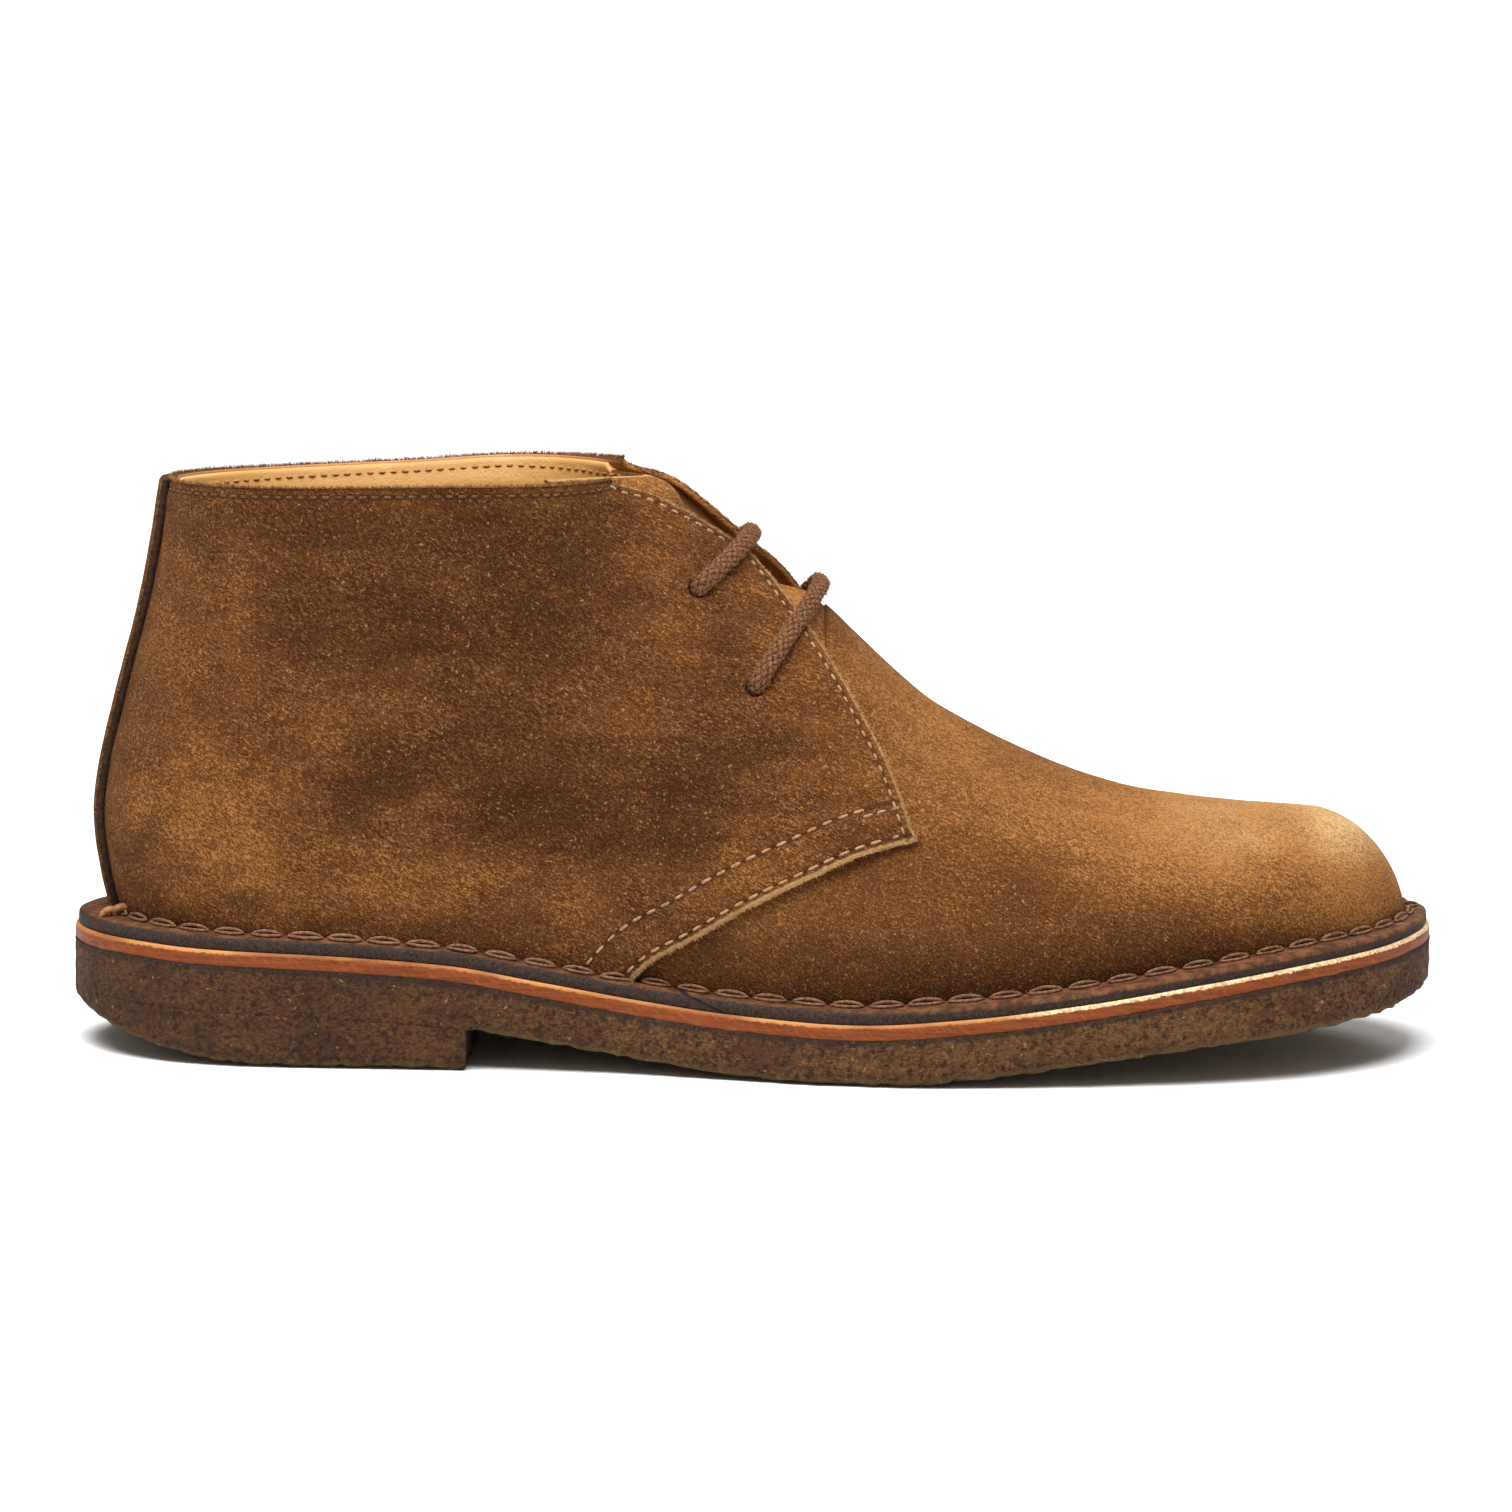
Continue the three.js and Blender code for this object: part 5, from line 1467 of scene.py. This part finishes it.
top_rows = np.arange(0, 30)
gap_by_column, normal_by_column = by_column(top_gap), by_column(quarter_normal)
points, out = contour(gap_by_column, COLLAR_STITCH_IN, by_column(quarter_out), normal_by_column, top_rows)
behind = np.nonzero((np.abs(points[:, 1]) < stay_half + 0.5) & (points[:, 0] < -100))[0]
collar_lines = [(points[part], out[part]) for part in (slice(behind[0]), slice(behind[-1] + 1, None))]
lining_line = contour(gap_by_column, LINING_STITCH_IN, by_column(lining_in), -normal_by_column, top_rows)

facing_rows = stitch_row("facing_stitches", facing_lines, FINE_PITCH + 0.3, fine_stitch, facing_thread)
foot_rows = stitch_row("foot_stitches", foot_lines + second_lines, FOOT_PITCH, long_stitch, facing_thread)
collar_rows = stitch_row("collar_stitches", collar_lines, FINE_PITCH, fine_stitch, collar_thread)
lining_rows = stitch_row("lining_stitches", [lining_line], FINE_PITCH, fine_stitch, lining_thread)
# Painted shade: small dark discs between the stitches stand for the shadow in the needle holes
hole_shade_material = Finish("needle_hole_shade", 1.0, Specular_IOR_Level=0.0).done((0.012, 0.006, 0.003))
prick = stitch_shape("prick", 0.9, 0.62, 0.0)
prick_rows = [
    stitch_row("facing_holes", facing_lines, FINE_PITCH + 0.3, prick, hole_shade_material, 0.9, 0.12, 0.5),
    stitch_row("foot_holes", foot_lines + second_lines, FOOT_PITCH, prick, hole_shade_material, 1.0, 0.12, 0.5),
    stitch_row("collar_holes", collar_lines, FINE_PITCH, prick, hole_shade_material, 0.9, 0.12, 0.5),
]
seam_path, seam_out = welt_inner(1.25, 0.75)
seam_path = np.concatenate([seam_path, seam_path[:1]])
seam_up = np.concatenate([seam_out, seam_out[:1]]) * 0.75 + (0, 0, 0.7)
welt_rows = stitch_row("welt_stitches", [(seam_path, seam_up)], WELT_PITCH, eye_stitch, welt_thread, 1.0,
                       0.22)
knot_shape = stitch_shape("knot", 5.4, 1.9, 1.1)
knot_at = int(np.argmin(np.abs(seam_path[:PLAN_STEPS, 0] - HEEL_KNOT_X)))
knot_places = ((0.3, 1.3), (3.4, 0.9), (5.6, 0.4))
knot_line = np.stack([welt_inner(reach, lift)[0][knot_at] for reach, lift in knot_places])
knot_up = np.tile([0, 0, 1.0], (3, 1))
knot = stitch_row("heel_knot", [(knot_line, knot_up)], 4.0, knot_shape, knot_thread, 0.9, 0.0)
for shape in (fine_stitch, long_stitch, eye_stitch, prick, knot_shape):
    bpy.data.objects.remove(shape)


# Loose fibres along the cut edges and on the laces
def fibres(name, roots, outs, count, length, material, seed):
    """Short curved hairs standing on roots, each leaning off its outward direction."""
    chance = np.random.default_rng(seed)
    pick = chance.integers(0, len(roots), count)
    after = np.minimum(pick + 1, len(roots) - 1)
    step = roots[after] - roots[pick]
    near = np.linalg.norm(step, axis=1, keepdims=True) < 3
    root = roots[pick] + np.where(near, step, 0) * chance.random((count, 1))
    lean = unit(outs[pick] + chance.normal(0, 0.55, (count, 3)))
    bend = unit(lean + chance.normal(0, 0.6, (count, 3)))
    reach = length * (0.4 + 0.8 * chance.random((count, 1)) ** 1.5)
    middle = root + lean * reach * 0.5
    tip = middle + bend * reach * 0.5
    side = unit(np.cross(lean, chance.normal(0, 1, (count, 3))))
    other = np.cross(lean, side)
    points, faces = [], []
    for centre, radius in ((root - lean * 0.15, 0.075), (middle, 0.055)):
        for k in range(FIBRE_SIDES):
            angle = 2 * math.pi * k / FIBRE_SIDES
            points.append(centre + (side * math.cos(angle) + other * math.sin(angle)) * radius)
    points.append(tip)
    points = np.stack(points, axis=1)
    start = np.arange(count)[:, None] * points.shape[1]
    for k in range(FIBRE_SIDES):
        a, b = k, (k + 1) % FIBRE_SIDES
        for triangle in ((a, b, b + 3), (a, b + 3, a + 3), (a + 3, b + 3, 6)):
            faces.append(start + np.array(triangle))
    hairs = make_object(name, points.reshape(-1, 3), np.concatenate(faces).tolist())
    hairs.data.materials.append(material)
    return hairs


brown_fibre = thread_finish("suede_fibres", (0.30, 0.145, 0.055), (0.10, 0.042, 0.014), 1.2)
pale_fibre = thread_finish("cut_edge_fibres", (0.55, 0.33, 0.15), (0.28, 0.14, 0.05), 1.2)
lace_fibre = thread_finish("lace_fibres", (0.30, 0.150, 0.072), (0.12, 0.052, 0.024), 1.2)
rim_up = np.array([0, 0, 1.0])
collar_rim = quarter_out[0, 4:-4]
collar_fuzz = fibres("collar_fibres", collar_rim, quarter_normal[0, 4:-4] * 0.4 + rim_up,
                     *FIBRES["collar"], brown_fibre, 5)
facing_parts, facing_outs, foot_parts, foot_outs = [], [], [], []
for column, inward in ((0, 6), (last, last - 6)):
    for rows, parts, outs in ((slice(2, FRONT_ROWS + 1), facing_parts, facing_outs),
                              (slice(FRONT_ROWS + 1, None), foot_parts, foot_outs)):
        away = unit(quarter_out[rows, column] - quarter_out[rows, inward])
        parts.append(quarter_out[rows, column])
        outs.append(away + quarter_normal[rows, column] * 0.5)
facing_fuzz = fibres("facing_fibres", np.concatenate(facing_parts), np.concatenate(facing_outs),
                     *FIBRES["facing"], pale_fibre, 6)
foot_fuzz = fibres("foot_fibres", np.concatenate(foot_parts), np.concatenate(foot_outs),
                   *FIBRES["foot"], pale_fibre, 7)
stay_edges = np.concatenate([stay_out[:, 0], stay_out[:, -1]])
stay_outs = np.concatenate([stay_normal[:, 0], stay_normal[:, -1]])
stay_fuzz = fibres("strip_fibres", stay_edges, stay_outs, *FIBRES["strip"], brown_fibre, 8)
lace_fuzz = []
for number, lace in enumerate((lace_low, lace_high)):
    count = len(lace.data.vertices)
    flat, facing = np.zeros(count * 3), np.zeros(count * 3)
    lace.data.vertices.foreach_get("co", flat)
    lace.data.vertex_normals.foreach_get("vector", facing)
    shuffled = np.random.default_rng(40 + number).permutation(count)
    lace_fuzz.append(fibres(f"lace_fibres_{number + 1}", flat.reshape(-1, 3)[shuffled] / MM,
                            facing.reshape(-1, 3)[shuffled], *FIBRES["lace"], lace_fibre, 9 + number))

# What stands for which solid
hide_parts("upper")
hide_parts("tongue")
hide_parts("backstay")
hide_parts("outsole")
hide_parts("heel")
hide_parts("midsole")
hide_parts("welt")
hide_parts("lace_lower")
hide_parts("lace_upper")
PIECE_SLOTS = [
    (quarters, "suede"), (vamp, "suede"), (tongue, "suede"), (backstay, "suede"),
    (lining, "tan_leather"), (outsole, "crepe"), (heel, "crepe"), (midsole, "orange_leather"),
    (welt, "brown_leather"), (lace_low, "lace"), (lace_high, "lace"),
    (facing_rows, "lace"), (foot_rows, "lace"), (collar_rows, "lace"), (lining_rows, "lace"),
    (welt_rows, "brown_leather"), (knot, "brown_leather"),
]
PIECE_SLOTS += [(row, "suede") for row in prick_rows + [collar_fuzz, facing_fuzz, foot_fuzz, stay_fuzz]]
PIECE_SLOTS += [(row, "lace") for row in lace_fuzz]
for piece, slot in PIECE_SLOTS:
    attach(piece, "root")

# Floor and soft studio light
floor_mesh = bpy.data.meshes.new("floor")
floor_mesh.from_pydata([(-6, -4, 0), (6, -4, 0), (6, 8, 0), (-6, 8, 0)], [], [(0, 1, 2, 3)])
floor = placed("floor", floor_mesh)
floor.location.z = -0.0002
pale = Finish("pale_floor", 0.9, Specular_IOR_Level=0.0)
away = pale.node("VectorMath", (("operation", "LENGTH"),), Vector=pale.place)
pale.shader.inputs["Emission Color"].default_value = (1, 1, 1, 1)
pale.feed(pale.shader.inputs["Emission Strength"], pale.span(away.outputs["Value"], 0.3, 0.9, 0.0, 0.9))
floor.data.materials.append(pale.done((0.9, 0.9, 0.9)))

world = bpy.data.worlds.new("studio")
world.use_nodes = True
background = world.node_tree.nodes["Background"]
background.inputs[0].default_value = (1, 1, 1, 1)
sight = world.node_tree.nodes.new("ShaderNodeLightPath")
glow = world.node_tree.nodes.new("ShaderNodeMapRange")
glow.inputs["To Min"].default_value = 0.24
glow.inputs["To Max"].default_value = 1.05
world.node_tree.links.new(sight.outputs["Is Camera Ray"], glow.inputs["Value"])
world.node_tree.links.new(glow.outputs["Result"], background.inputs[1])
bpy.context.scene.world = world


def soft_light(name, place, target, size, power):
    data = bpy.data.lights.new(name, "AREA")
    data.shape = "RECTANGLE"
    data.size, data.size_y = size
    data.energy = power
    light = placed(name, data)
    light.location = place
    direction = Vector(target) - Vector(place)
    light.rotation_euler = direction.to_track_quat("-Z", "Y").to_euler()


soft_light("top_light", (-0.15, -0.36, 1.25), (0.0, 0, 0.03), (1.2, 0.8), 39)
soft_light("back_light", (0.5, 0.9, 0.9), (0, 0, 0.05), (0.8, 0.6), 5)
bpy.context.scene.view_settings.view_transform = "Standard"
